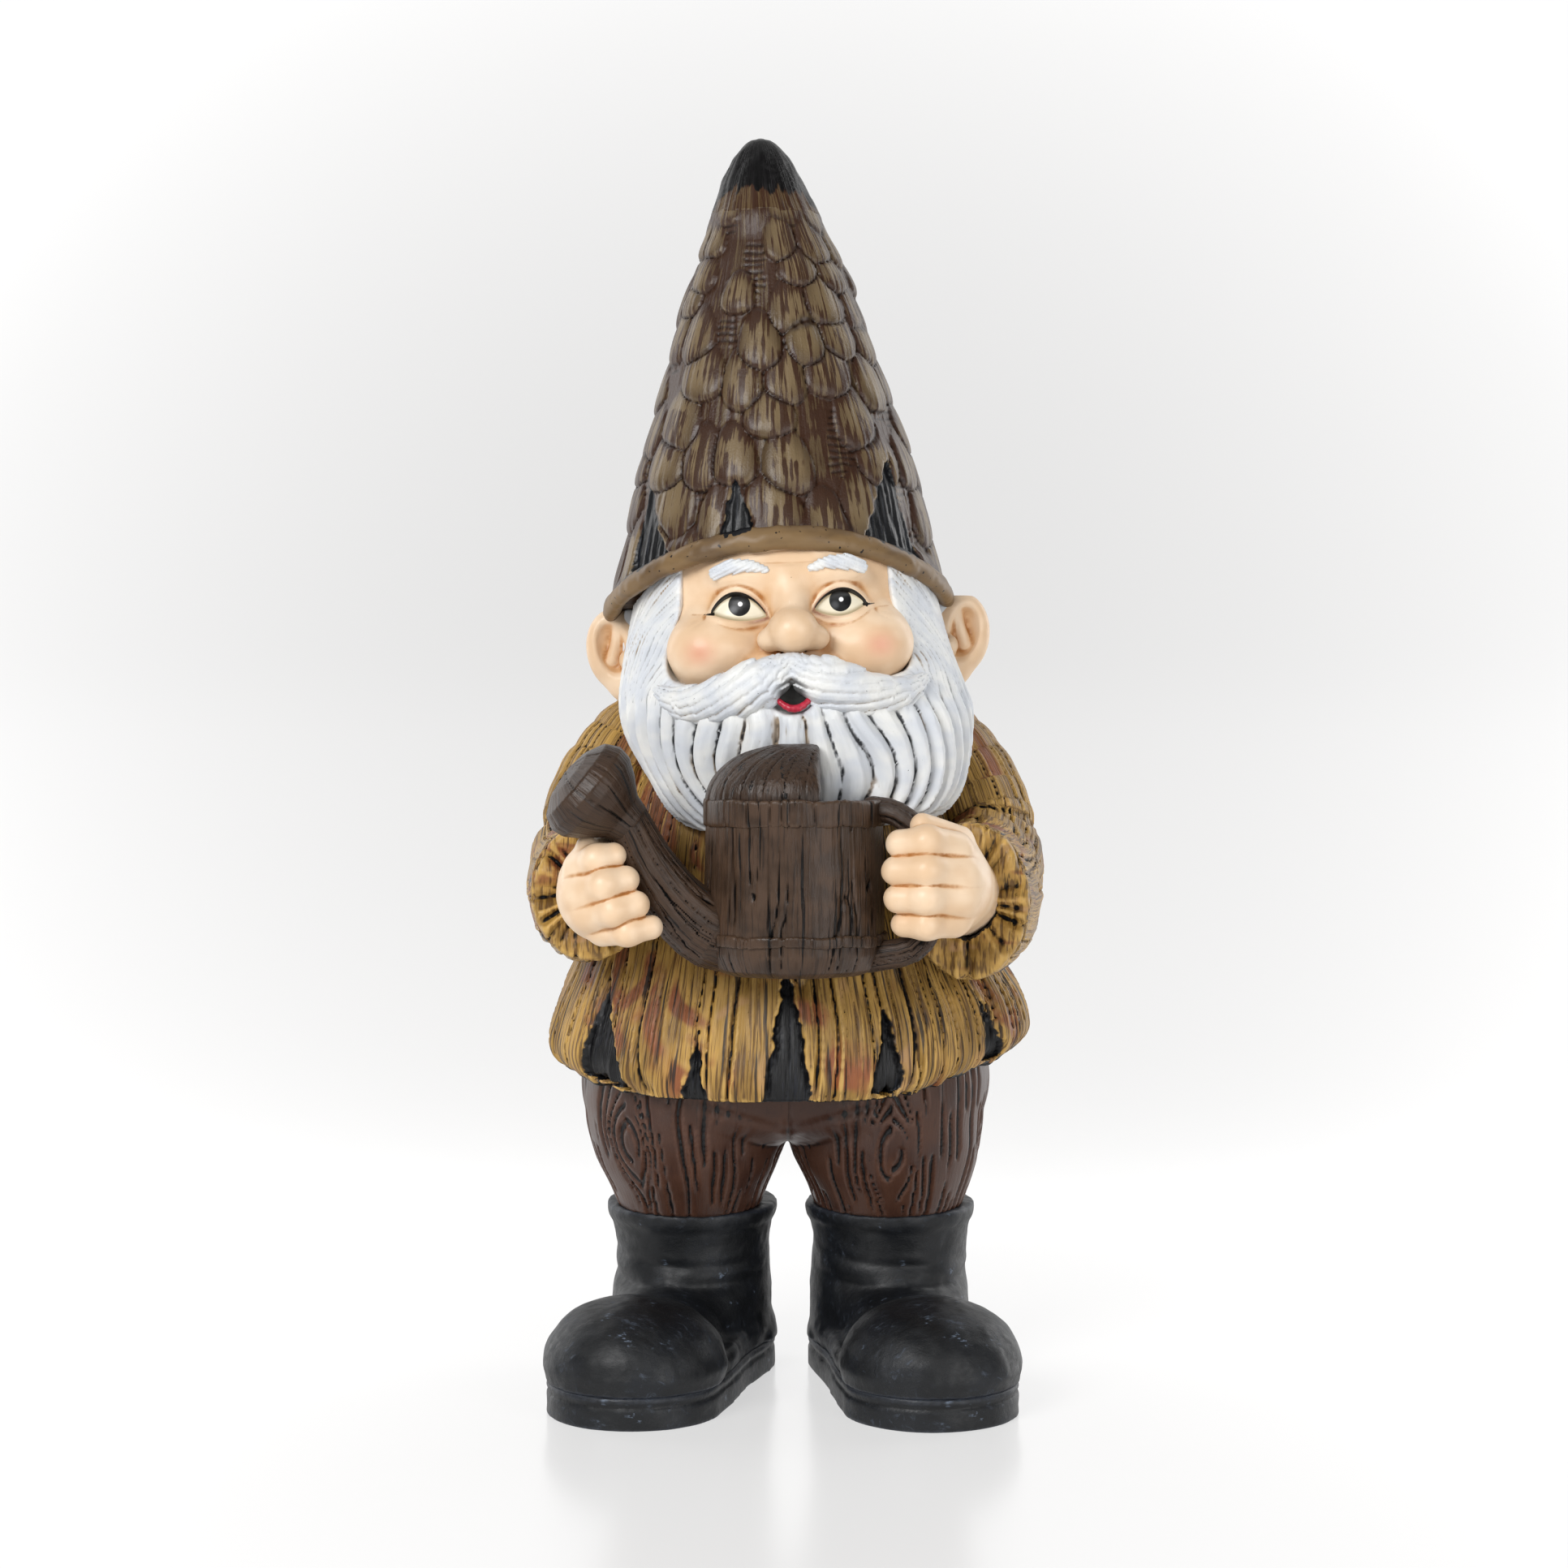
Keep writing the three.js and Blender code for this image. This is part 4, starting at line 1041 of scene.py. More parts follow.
def ear_field(side):
    def field(p):
        x, y, z = p[0] * side, p[1], p[2]
        q = (x, y, z)
        shell = ellipsoid(q, (59.3, 6, 256.8), (10.8, 6.2, 14.8), 8)
        form = smooth_min(shell, ellipsoid(q, (56, 4.5, 244.6), (6.2, 4.8, 6.6)), 4)
        bowl = ellipsoid(q, (61.6, -1.4, 258.4), (5.6, 7.2, 10.6), 10)
        form = smooth_max(form, -bowl, 1.6)
        form = smooth_min(form, capsule(q, (58.2, 4.2, 266), (61.2, 4.4, 253.5), 1.5, 2.0), 2.0)
        form = smooth_min(form, ellipsoid(q, (56.2, 0.6, 253.5), (2.6, 3, 3.4)), 1.5)
        form = form - 0.1 * noise(x / 4, y / 4, z / 4, 43)
        return smooth_max(form, over_brim(p), 0.5)

    return field


def build_head(material):
    box = [-56, -69, 208], [56, 15, 302]
    add_piece("head_casting", "head", material, head_field, box, 0.62, head_masks, onto_head)
    for side, name in SIDES:
        box = [side * 60 - 14, -3, 234], [side * 60 + 14, 14, 276]
        field = ear_field(side)
        node = name + "_ear"
        add_piece(node + "_casting", node, material, field, box, 0.5, bare_skin, onto_head)


# ---------------------------------------------------------------- hair

BEARD = Loft(
    [
        [193.5, 4, -42, 22, 15],
        [197, 6, -38, 39, 24],
        [204, 6, -31, 48, 34],
        [214, 5, -24.5, 53, 42],
        [228, 2.5, -17, 58, 49.5],
        [240, 0.5, -12, 59, 52.5],
        [254, -0.6, -6, 56, 51.0],
        [270, -0.6, -3, 52.5, 49.8],
        [280, -0.6, -2, 51.0, 48.8],
        [294, -0.6, 0, 49, 46.5],
    ]
)
NAPE = Loft(
    [
        [222, 0, 8, 44, 42],
        [232, 0, 6, 52, 48],
        [246, 0, 4, 56, 52],
        [260, 0, 3, 57, 53],
        [280, 0, 3, 55, 52],
    ]
)
FACE_OPENING = Loft(
    [
        [240, 0, -45, 22, 34],
        [244, 0, -45, 33, 34],
        [248, 0, -45, 39.5, 34],
        [255, 0, -45, 41, 34],
        [265, 0, -45, 37.5, 34],
        [275, 0, -45, 35.8, 34],
        [302, 0, -45, 36, 34],
    ]
)
MOUSTACHE_ROWS = [
    [0.3, -60.5, 252.8, 4.5, 2.0],
    [2.6, -61.5, 251.2, 5.2, 3.9],
    [5.2, -62, 248.4, 5.8, 6.3],
    [11, -62.3, 245.2, 6.6, 8.7],
    [19, -60.5, 242.3, 6.6, 8.2],
    [28, -56, 239.8, 6.2, 6.9],
    [36.5, -50.5, 239.7, 5.4, 5.8],
    [43.5, -44.5, 243.5, 3.2, 2.4],
]


def strands(place, seed, sharp=2.5):
    """Rounded strands side by side, one a unit: (height from 0 to 1, number of the strand)."""
    number = np.floor(place)
    shift = 0.3 * (chance(number, number * 0, number * 0, seed) - 0.5)
    across = np.abs(place - number - 0.5 + shift * 0.5) * 2
    return 1 - np.clip(across, 0, 1) ** sharp, number


LOCK_PITCH = 7.8


def beard_run(p, angle):
    """Place across the locks of the beard: they fan out under the mouth and turn in again at the foot."""
    z = p[2]
    arc = np.degrees(angle) * 0.94
    side = np.clip(arc / 6, -1, 1)
    out = 9.0 * step_between(240, 214, z) - 6.0 * step_between(214, 195, z)
    out = out * step_between(-4, 30, np.abs(arc))
    sweep = 0.012 * np.clip(z - 228, 0, 70) ** 2 * step_between(12, 34, np.abs(arc))
    wave = 2.2 * noise(arc / 20, z / 18, z * 0, 51)
    return arc - side * out + side * sweep + wave


def beard_locks(p, angle):
    """Relief of the beard's locks, which stand up near its foot and lie flat on the cheeks."""
    z = p[2]
    run = beard_run(p, angle)
    lock, number = strands(run / LOCK_PITCH, 52, 2.0)
    size = 0.7 + 0.6 * chance(number, number * 0, number * 0, 53)
    strong = step_between(249, 230, z) * (0.4 + 0.6 * step_between(243, 232, z)) + 0.14
    fine, _ = strands(run / 2.5 + 0.9 * noise(run / 11, z / 12, z * 0, 54), 55, 2.0)
    return 2.9 * strong * size * (lock - 0.65) + (0.5 + 0.2 * step_between(225, 250, z)) * (fine - 0.5)


def beard_field(p):
    angle, wall = BEARD.polar(p)
    _, number = strands(beard_run(p, angle) / LOCK_PITCH, 52)
    ragged = 4.5 * chance(number, number * 0, number * 0, 56)
    form = smooth_max(wall - beard_locks(p, angle), 195.5 + ragged - p[2], 2.5)
    opening = FACE_OPENING.polar(p)[1]
    opening = np.maximum(opening, 241 + 0.004 * p[0] ** 2 - p[2])
    form = smooth_max(form, -opening, 1.6)
    mouth = ellipsoid(p, (MOUTH_X, -65, MOUTH_Z), (8.5, 10.5, 7))
    form = smooth_max(form, -mouth, 1.5)
    return smooth_max(form, np.maximum(p[1] - 6, over_brim(p) + 1.5), 1.0)


def beard_masks(p, normals):
    angle = BEARD.polar(p)[0]
    stain = step_between(0.1, 0.6, noise(p[0] / 14, p[1] / 14, p[2] / 10, 57))
    low = step_between(246, 228, p[2]) * step_between(-4, -14, p[1])
    run = beard_run(p, angle)
    mouth = 1.2 * hump((p[0] - MOUTH_X) / 8.0, (p[2] - 242.5) / 7.0) * step_between(-44, -50, p[1])
    return {"stain": stain, "deep": low, "mouth": mouth, "flow": (run, run * 0, p[2])}


def moustache_field(p):
    form = None
    for side in (-1, 1):
        rows = [[MOUTH_X + side * x, y, z, wide, tall] for x, y, z, wide, tall in MOUSTACHE_ROWS]
        away, t, _, dv = Tube(rows, (0, 1, 0), 12).locate(p)
        tall = np.interp(t, np.linspace(0, 1, len(rows)), [row[4] for row in rows])
        slant = dv / tall + 2.5 * t + 0.12 * noise(t * 5, dv / 6, t * 0, 61)
        coarse, _ = strands(slant * 2.3 + 0.5, 62, 2.6)
        fine, _ = strands(slant * 7, 63, 2.0)
        lobe = away - (0.75 * (coarse - 0.6) + 0.22 * (fine - 0.5)) * step_between(0.0, 0.12, t)
        form = lobe if form is None else smooth_min(form, lobe, 1.2)
    return form


def moustache_masks(p, normals):
    # The underside of the moustache, where it faces down, is tinted ochre and darkened in its creases:
    # painted shade.
    stain = step_between(-0.2, -0.7, normals[:, 2])
    mouth = hump((p[0] - MOUTH_X) / 6.0, (p[2] - 243) / 5.0) * step_between(0.35, -0.35, normals[:, 2])
    return {"stain": stain, "deep": stain, "mouth": mouth}


def back_hair_field(p):
    _, wall = NAPE.polar(p)
    arc = np.degrees(np.arctan2(p[0], p[1])) * 0.95
    wave = 2.0 * noise(arc / 26, p[2] / 20, p[2] * 0, 71) + np.sin(p[2] / 8)
    lock, number = strands((arc + wave) / 7.6, 72, 2.2)
    fine, _ = strands((arc + wave) / 2.4, 73, 2.0)
    ragged = 5.5 * chance(number, number * 0, number * 0, 74)
    strong = 1.6 * step_between(266, 244, p[2]) + 0.4
    form = wall - strong * (lock - 0.6) - 0.5 * (fine - 0.5)
    form = smooth_max(form, np.maximum(223.5 + ragged - p[2], p[2] - 279), 2.0)
    return smooth_max(form, np.maximum(2.0 - p[1], over_brim(p)), 1.0)


def back_hair_masks(p, normals):
    stain = step_between(0.1, 0.6, noise(p[0] / 14, p[1] / 14, p[2] / 10, 75))
    return {"stain": stain, "deep": step_between(262, 236, p[2]), "mouth": p[0] * 0}


def brow_field(side):
    rows = [
        [FACE_X + side * 7.4, -50.2, 282.6, 1.1, 1.2],
        [FACE_X + side * 13, -50.6, 284.2, 1.3, 2.0],
        [FACE_X + side * 19.5, -49.6, 284.0, 1.4, 2.5],
        [FACE_X + side * 25, -47.4, 281.8, 1.2, 1.9],
    ]
    tube = Tube(rows, (0, 1, 0), 10)

    def field(p):
        away = tube.field(p)
        hairs, _ = strands((p[2] + 0.45 * side * p[0]) / 1.4, 81, 2.0)
        return away - 0.45 * (hairs - 0.5) - 0.15 * noise(p[0] / 2.2, p[2] / 1.2, p[1] * 0, 82)

    return field


def lip_field(p):
    form = None
    spots = []
    for k in np.linspace(-1, 1, 9):
        middle = (MOUTH_X + 0.7 + 5.9 * k, -65 + 1.6 * k * k, 236.9 + 3.9 * k * k)
        spots.append((middle, 1.15 - 0.5 * k * k))
    for (start, radius), (end, end_radius) in zip(spots, spots[1:]):
        part = capsule(p, start, end, radius, end_radius)
        form = part if form is None else smooth_min(form, part, 0.6)
    return form


def plain_hair(p, normals):
    return {"stain": p[0] * 0, "deep": p[0] * 0, "mouth": p[0] * 0}


def build_hair(material, lip_material):
    box = [-66, -70, 190], [68, 8, 294]
    add_piece("beard_locks", "beard", material, beard_field, box, 0.8, beard_masks, onto_head)
    box = [-48, -73, 226], [48, -38, 262]
    add_piece(
        "moustache_lobes", "moustache", material, moustache_field, box, 0.5, moustache_masks, onto_head
    )
    box = [-62, 0, 218], [62, 62, 282]
    add_piece(
        "back_hair_locks", "back_hair", material, back_hair_field, box, 0.85, back_hair_masks, onto_head
    )
    for side, name in SIDES:
        middle = FACE_X + side * 16
        box = [middle - 14, -56, 276], [middle + 14, -43, 290]
        node = name + "_brow"
        add_piece(node + "_tuft", node, material, brow_field(side), box, 0.4, plain_hair, onto_head)
    box = [-9, -69, 233], [11, -58, 246]
    add_piece("lip_roll", "lower_lip", lip_material, lip_field, box, 0.3, None, onto_head)


# ---------------------------------------------------------------- jacket

JACKET = Loft(
    [
        [104, 1.5, 2, 70, 52],
        [112, 1.6, 2, 79.0, 60.5],
        [116, 1.8, 2, 82.6, 63],
        [122, 2.0, 2, 83.4, 63.8],
        [134, 2.3, 3, 80.0, 61.2],
        [150, 1.6, 4, 72.5, 56],
        [170, 1, 5, 66, 52],
        [190, 1, 6, 63, 50],
        [208, 1, 7, 57, 46],
        [224, 1, 8, 49, 40],
        [236, 1, 8, 40, 34],
        [243, 1, 8, 32, 27],
    ]
)
JACKET_FOOT, JACKET_TOP = 106, 243
HEM_ROW = 112.0
# Radii of the cylinders that the grain of the jacket, of a sleeve and of a leg is read on.
JACKET_WRAP, SLEEVE_WRAP, LEG_WRAP = 68, 22, 36
SLEEVE_LENGTH = 130.0
SKIRT_NOTCHES = [
    (-50, 9.5, -55, 33),
    (-22.6, 4, -22.4, 22),
    (-0.6, 6.4, -0.4, 44),
    (23.9, 4.6, 23.8, 27),
    (58.8, 6.2, 53.6, 27),
    (92, 5.5, 90, 26),
    (127, 6, 125, 31),
    (162, 4.5, 160, 22),
    (-165, 6, -163, 34),
    (-128, 5, -126, 24),
    (-92, 6.5, -90, 29),
]
SLEEVE_ROWS = {
    1: [
        [44, 10, 233, 9, 10],
        [53, 9, 223, 15.5, 17],
        [63.5, 6, 204, 20, 23],
        [69.5, 0, 184, 20, 26],
        [69, -18, 173.5, 20, 27],
        [65, -38, 171.5, 21, 26],
        [61, -55, 173, 20.5, 26],
    ],
    -1: [
        [-42, 10, 233, 9, 10],
        [-51, 9, 223, 15.5, 17],
        [-60.5, 6, 204, 20, 23],
        [-67, 0, 184, 19.5, 25.5],
        [-68, -18, 174.5, 19.5, 25],
        [-66, -38, 174, 19.5, 23.5],
        [-64, -56, 176, 19.5, 22.5],
    ],
}


def bark(x, y, z, seed):
    """Relief of bark that runs along z, in millimetres: ridged planks and deep cracks between them."""
    bend = 0.8 * noise(x / 9, y / 9, z / 26, seed)
    x, y = x + bend, y - bend
    planks = noise(x / 5.5, y / 5.5, z / 60, seed + 1)
    cracks = np.abs(noise(x / 5.0, y / 5.0, z / 64, seed + 2))
    ridges = np.abs(noise(x / 1.8, y / 1.8, z / 34, seed + 3))
    swell = noise(x / 13, y / 13, z / 16, seed + 4)
    return 0.6 * planks + ridges + 0.4 * swell - 1.7 * step_between(0.12, 0.0, cracks) - 0.35


def under_hem(p):
    """The point moved as if the hem were level. It hangs lower in front and is tucked up at the left."""
    front = np.clip((4 - p[1]) / 62, 0, 1)
    out = p[0] / 82
    drop = 3 + 5.5 * front**1.5 - 7 * out**2 - 3 * out
    reach = np.clip(1 - (p[2] - HEM_ROW) / 45, 0, 1.2)
    return p[0], p[1], p[2] + drop * reach


def jacket_torn(angle, q):
    up = q[2] - HEM_ROW
    rim = step_between(3.2, 1.8, up + 1.5 * noise(angle * 14, angle * 0, angle * 0, 96))
    return torn_depth(angle, up, JACKET_WRAP, SKIRT_NOTCHES, 91) - 9 * rim


def jacket_field(p):
    q = under_hem(p)
    angle, wall = JACKET.polar(q)
    arc = angle * JACKET_WRAP
    torn = step_between(-0.4, 0.9, jacket_torn(angle, q))
    w = wrapped(angle, JACKET_WRAP, p[2])
    strand_relief = np.abs(grain(w, 1.6, 18, 92))
    relief = bark(*w, 93) * (1 - torn) + torn * (strand_relief - 2.6)
    jag = 1.5 * noise(arc / 3.2, arc * 0, arc * 0, 94)
    jag = jag + 0.8 * noise(arc / 1.2, arc * 0, arc * 0, 95) - 2.5 * torn
    form = smooth_max(wall - relief, HEM_ROW - jag - q[2], 1.0)
    return smooth_max(form, np.maximum(JACKET_FOOT - p[2], p[2] - JACKET_TOP), 1.0)


def jacket_masks(p, normals):
    q = under_hem(p)
    angle = JACKET.polar(q)[0]
    # The downward-facing underside of the hem joins the torn parts, so it is painted blue-black as painted
    # shade.
    under = step_between(-0.55, -0.85, normals[:, 2]) * 3 - 1.5
    under = np.where(q[2] < HEM_ROW + 4, under, -1.0)
    return {"torn": np.maximum(jacket_torn(angle, q), under), "flow": wrapped(angle, JACKET_WRAP, p[2])}


def sleeve_parts(side):
    """The tube of a sleeve, and a function that gives how far past its end a point is."""
    tube = Tube(SLEEVE_ROWS[side], (1, 0, 0), 16)
    end = tube.points[-1][:3]
    along = end - tube.points[-3][:3]
    along = along / np.linalg.norm(along)
    return tube, lambda p: sum((p[k] - end[k]) * along[k] for k in range(3))


def cuff_face(past, away):
    """1 on the flat end of a sleeve's cuff and inside it, and 0 along the sleeve."""
    inside = step_between(-2, -3.5, away) * step_between(-14, -10, past)
    return np.maximum(step_between(-4, -0.5, past), inside)


def sleeve_grain(face, t, du, dv):
    """Place in the sleeve's bark, which runs along the sleeve, and down the flat end of its cuff."""
    along = wrapped(np.arctan2(du, dv), SLEEVE_WRAP, t * SLEEVE_LENGTH)
    return [a * (1 - face) + b * face for a, b in zip(along, (0.5 * du, 0 * du, 2.5 * dv))]


def sleeve_field(side):
    tube, past_end = sleeve_parts(side)

    def field(p):
        away, t, du, dv = tube.locate(p)
        calm = step_between(0.0, 0.55, t)
        past = past_end(p)
        relief = bark(*sleeve_grain(cuff_face(past, away), t, du, dv), 101 + side) * (0.38 + 0.3 * calm)
        folds = 1.4 * hump((t - 0.46 + 0.003 * dv) / 0.03) + 1.1 * hump((t - 0.56 - 0.004 * du) / 0.03)
        around = np.arctan2(du, dv)
        jag = 2.6 * noise(around * 2.6, around * 0, around * 0, 102 + side)
        jag = jag + 1.6 * noise(around * 7, around * 0, around * 0, 103 + side)
        form = smooth_max(away - relief + folds, past - 2.0 - jag - 0.5 * relief, 2.2)
        mouth = np.maximum(away + 11, -past - 3)
        return smooth_max(form, -mouth, 2.0)

    return field


def sleeve_masks(side):
    tube, past_end = sleeve_parts(side)

    def masks(p, normals):
        away, t, du, dv = tube.locate(p)
        near_end = past_end(p) > -16
        face = cuff_face(past_end(p), away)
        grown = sleeve_grain(face, t, du, dv)
        gaps = (noise(grown[0] / 5, grown[1] / 5, grown[2] / 14, 104 + side) - 0.46 - face) * 4
        # Deep inside the cuff's opening joins the torn parts, so it is painted blue-black as painted
        # shade.
        mouth = np.where(away < -10, 1.0, -1.0)
        torn = np.where(near_end, np.maximum(gaps, mouth), -1.0)
        return {"torn": torn, "flow": grown, "plain": p[0] * 0 + 1}

    return masks


def build_jacket(material):
    box = [-88, -66, 102], [90, 70, 246]
    add_piece("jacket_bark", "jacket", material, jacket_field, box, 0.78, jacket_masks)
    for side, name in SIDES:
        middle = 68 * side
        box = [middle - 30, -66, 138], [middle + 30, 30, 250]
        node = name + "_sleeve"
        add_piece(node + "_bark", node, material, sleeve_field(side), box, 0.75, sleeve_masks(side))


# ---------------------------------------------------------------- hands

HANDS = {
    1: {
        "back": ((52, -75, 182), (12, 12.3, 18)),
        "fingers": [
            ((37.5, -87.5, 194.6), (46, -90.5, 195.6), (56, -83, 193), 5.1),
            ((36.2, -89, 186), (46, -92.6, 186.6), (57, -85, 185), 5.3),
            ((36.8, -89, 177), (46, -92.4, 177.4), (57, -85, 176.5), 5.2),
            ((39, -87, 168.6), (46, -90, 168.8), (55, -83, 168.5), 4.8),
        ],
        "thumb": ((45, -82.5, 200), (57.5, -75, 195), 4.5),
        "wrist": ((54, -76, 180), (59, -48, 174), 14),
    },
    -1: {
        "back": ((-58, -77, 179.5), (12, 12.3, 17)),
        "fingers": [
            ((-54.5, -88.5, 191.0), (-60, -90, 189.8), (-66, -82, 187.0), 4.6),
            ((-50.6, -90.5, 183.4), (-57.5, -93, 181.8), (-65, -85, 178.8), 5.0),
            ((-47.2, -91, 175.4), (-54.5, -93, 173.6), (-62, -85, 171.2), 4.9),
            ((-42.6, -89, 167.8), (-50, -91, 166.6), (-58, -83, 165.4), 4.4),
        ],
        "thumb": ((-63.5, -83, 193.5), (-67, -76, 184), 3.8),
        "wrist": ((-60, -77, 177), (-62, -48, 174), 13.5),
    },
}


def hand_field(side):
    hand = HANDS[side]

    def field(p):
        form = ellipsoid(p, *hand["back"])
        fingers = None
        for tip, knuckle, root, radius in hand["fingers"]:
            outer = capsule(p, tip, knuckle, radius * 0.9, radius)
            finger = smooth_min(outer, capsule(p, knuckle, root, radius), 2.5)
            fingers = finger if fingers is None else smooth_min(fingers, finger, 0.5)
        form = smooth_min(form, fingers, 2.0)
        start, end, radius = hand["thumb"]
        form = smooth_min(form, capsule(p, start, end, radius * 0.92, radius), 1.8)
        start, end, radius = hand["wrist"]
        form = smooth_min(form, capsule(p, start, end, radius), 6)
        return form - 0.12 * noise(p[0] / 4, p[1] / 4, p[2] / 4, 111)

    return field


def build_hands(material):
    for side, name in SIDES:
        middle = 54 if side > 0 else -58
        box = [middle - 24, -102, 156], [middle + 24, -46, 212]
        node = name + "_hand"
        add_piece(node + "_casting", node, material, hand_field(side), box, 0.55, bare_skin)


# ---------------------------------------------------------------- watering can

CAN_X, CAN_Y, CAN_RADIUS, CAN_FOOT, CAN_RIM = 3.6, -68.0, 30.0, 150.0, 207.5
CAN_TIP = 0.05
# Each hoop: the height of its middle, half its height, half its thickness, and its radius.
UPPER_HOOP = (203.3, 4.4, 1.7, CAN_RADIUS * 0.965 - 0.9)
LOWER_HOOP = (162, 1.9, 1.3, CAN_RADIUS * 0.985 - 0.3)
SPOUT_LENGTH, HANDLE_LENGTH = 62, 75
TUBE_WRAP, HANDLE_WRAP, ROSE_WRAP = 12, 9, 14
ROSE_NECK = np.array([-52, -83, 202.5])
ROSE_AXIS = np.array([-0.76, -0.1, 0.64]) / np.linalg.norm([-0.76, -0.1, 0.64])
ROSE_PROFILE = np.array(
    [[0, -4], [7.6, -4], [9, 1], [13.5, 6], [16.8, 11], [17.4, 15], [15.2, 19.5], [9.5, 22.4], [0, 23.8]]
)
SPOUT = Tube(
    [
        [-10, -70, 163, 13, 13],
        [-23, -74, 164.5, 12, 11.5],
        [-34.5, -78, 174, 10.3, 9.8],
        [-44, -81, 187.5, 8.6, 8.4],
        [-51, -83, 202, 7.2, 7.0],
    ],
    across=(0.7, 0, 0.7),
    pieces=12,
)
HANDLE = Tube(
    [
        [29, -74, 205, 4.6, 4],
        [37, -77, 203.5, 4.6, 4],
        [45, -80, 196, 4.5, 4.2],
        [48.5, -81, 183, 4.5, 4.2],
        [48, -81, 170, 4.6, 4.4],
        [42, -79, 160, 4.8, 4.6],
        [28, -75, 156.5, 5, 5],
    ],
    across=(0, 1, 0),
    pieces=18,
)


def carved(x, y, z, seed):
    """Relief of carved wood that runs along z: long fine cuts and broad tool marks."""
    cuts = np.abs(noise(x / 3.4, y / 3.4, z / 70, seed))
    broad = noise(x / 6, y / 6, z / 30, seed + 1)
    fine = noise(x / 1.2, y / 1.2, z / 14, seed + 2)
    return 0.4 * broad + 0.25 * fine - 0.9 * step_between(0.08, 0.0, cuts)


def tipped(p):
    """Place in the can's own frame: it leans back a little, so its front edge is raised."""
    return p[0] - CAN_X, p[1] - CAN_Y, p[2] - CAN_TIP * (CAN_Y - p[1])


def can_grain(x, y, z):
    return wrapped(np.arctan2(x, -y), CAN_RADIUS, z)


def can_body_field(p):
    x, y, z = tipped(p)
    heights = [CAN_FOOT - 2, CAN_FOOT, CAN_FOOT + 2, CAN_FOOT + 7, CAN_FOOT + 20, CAN_RIM]
    radius = np.interp(z, heights, [share * CAN_RADIUS for share in (0.7, 0.76, 0.89, 0.97, 0.985, 0.96)])
    away = np.hypot(x, y)
    wall = away - radius - carved(*can_grain(x, y, z), 121)
    form = smooth_max(wall, np.maximum(CAN_FOOT - z, z - CAN_RIM), 1.6)
    hollow = np.maximum(away - (CAN_RADIUS - 5), CAN_RIM - 6 - z)
    return smooth_max(form, -hollow, 1.0)


def hoop_field(height, tall, stand, radius):
    def field(p):
        x, y, z = tipped(p)
        out = np.abs(np.hypot(x, y) - radius) - stand
        up = np.abs(z - height - 0.5 * noise(x / 9, y / 9, x * 0, 131)) - tall
        return smooth_max(out, up, 0.9) - carved(*can_grain(x, y, z), 132) * 0.6

    return field


def hood_field(p):
    x, y, z = tipped(p)
    z = z - CAN_RIM
    form = ellipsoid((x, y, z), (0, 0, 0), (29.2, 27.2, 18.4))
    fan = np.degrees(np.arctan2(y, 9 - x)) / 13
    seam = np.abs(fan - np.round(fan)) * 13 * 0.4
    fine = noise(fan * 5, np.hypot(x, y) / 16, z / 16, 141)
    form = form + 0.5 * step_between(0.5, 0.0, seam) - 0.2 * fine - 0.25 * noise(x / 6, y / 6, z / 6, 142)
    form = smooth_max(form, x - 8.2 - 0.4 * noise(y / 4, z / 4, z * 0, 143), 1.6)
    return smooth_max(form, -1.0 - z, 0.6)


def spout_field(p):
    away, t, du, dv = SPOUT.locate(p)
    return away - carved(*wrapped(np.arctan2(du, dv), TUBE_WRAP, t * SPOUT_LENGTH), 151) * 1.25


def handle_field(p):
    away, t, du, dv = HANDLE.locate(p)
    return away - carved(*wrapped(np.arctan2(du, dv), HANDLE_WRAP, t * HANDLE_LENGTH), 152) * 0.9


def rose_place(p):
    """Distance from the rose's axis, height along it, and the angle round it."""
    offset = [p[k] - ROSE_NECK[k] for k in range(3)]
    along = sum(offset[k] * ROSE_AXIS[k] for k in range(3))
    away = np.sqrt(np.maximum(sum(v**2 for v in offset) - along**2, 0))
    sideways = offset[0] * ROSE_AXIS[2] - offset[2] * ROSE_AXIS[0]
    return away, along, np.arctan2(sideways, offset[1])


def rose_flow(p):
    _, along, turn = rose_place(p)
    return wrapped(turn, ROSE_WRAP, along)


def rose_field(p):
    away, along, _ = rose_place(p)
    return revolved(away, along, ROSE_PROFILE) - carved(*rose_flow(p), 161) * 0.45


def revolved(away, along, profile):
    """Distance from a turned form, from the [radius, height] corners of its outline."""
    nearest = np.full_like(away, 1e9)
    inside = np.zeros(away.shape, bool)
    for (r0, h0), (r1, h1) in zip(profile, profile[1:]):
        dr, dh = r1 - r0, h1 - h0
        t = np.clip(((away - r0) * dr + (along - h0) * dh) / (dr * dr + dh * dh), 0, 1)
        nearest = np.minimum(nearest, (away - r0 - dr * t) ** 2 + (along - h0 - dh * t) ** 2)
        if h1 > h0:
            rung = (along >= h0) & (along < h1)
            inside |= rung & (away < r0 + dr * (along - h0) / dh)
    return np.where(inside, -np.sqrt(nearest), np.sqrt(nearest))


# These masks set how much darker brown is laid on as painted shade: 0.5 on the spout and handle, 1 on the
# rose and hood.
def tube_flow(tube, length):
    def masks(p, normals):
        _, t, du, dv = tube.locate(p)
        return {"flow": wrapped(np.arctan2(du, dv), TUBE_WRAP, t * length), "aged": p[0] * 0 + 0.5}

    return masks


def rose_masks(p, normals):
    return {"flow": rose_flow(p), "aged": p[0] * 0 + 1}


def hood_masks(p, normals):
    return {"aged": p[0] * 0 + 1}


def can_masks(p, normals):
    return {"flow": can_grain(*tipped(p))}


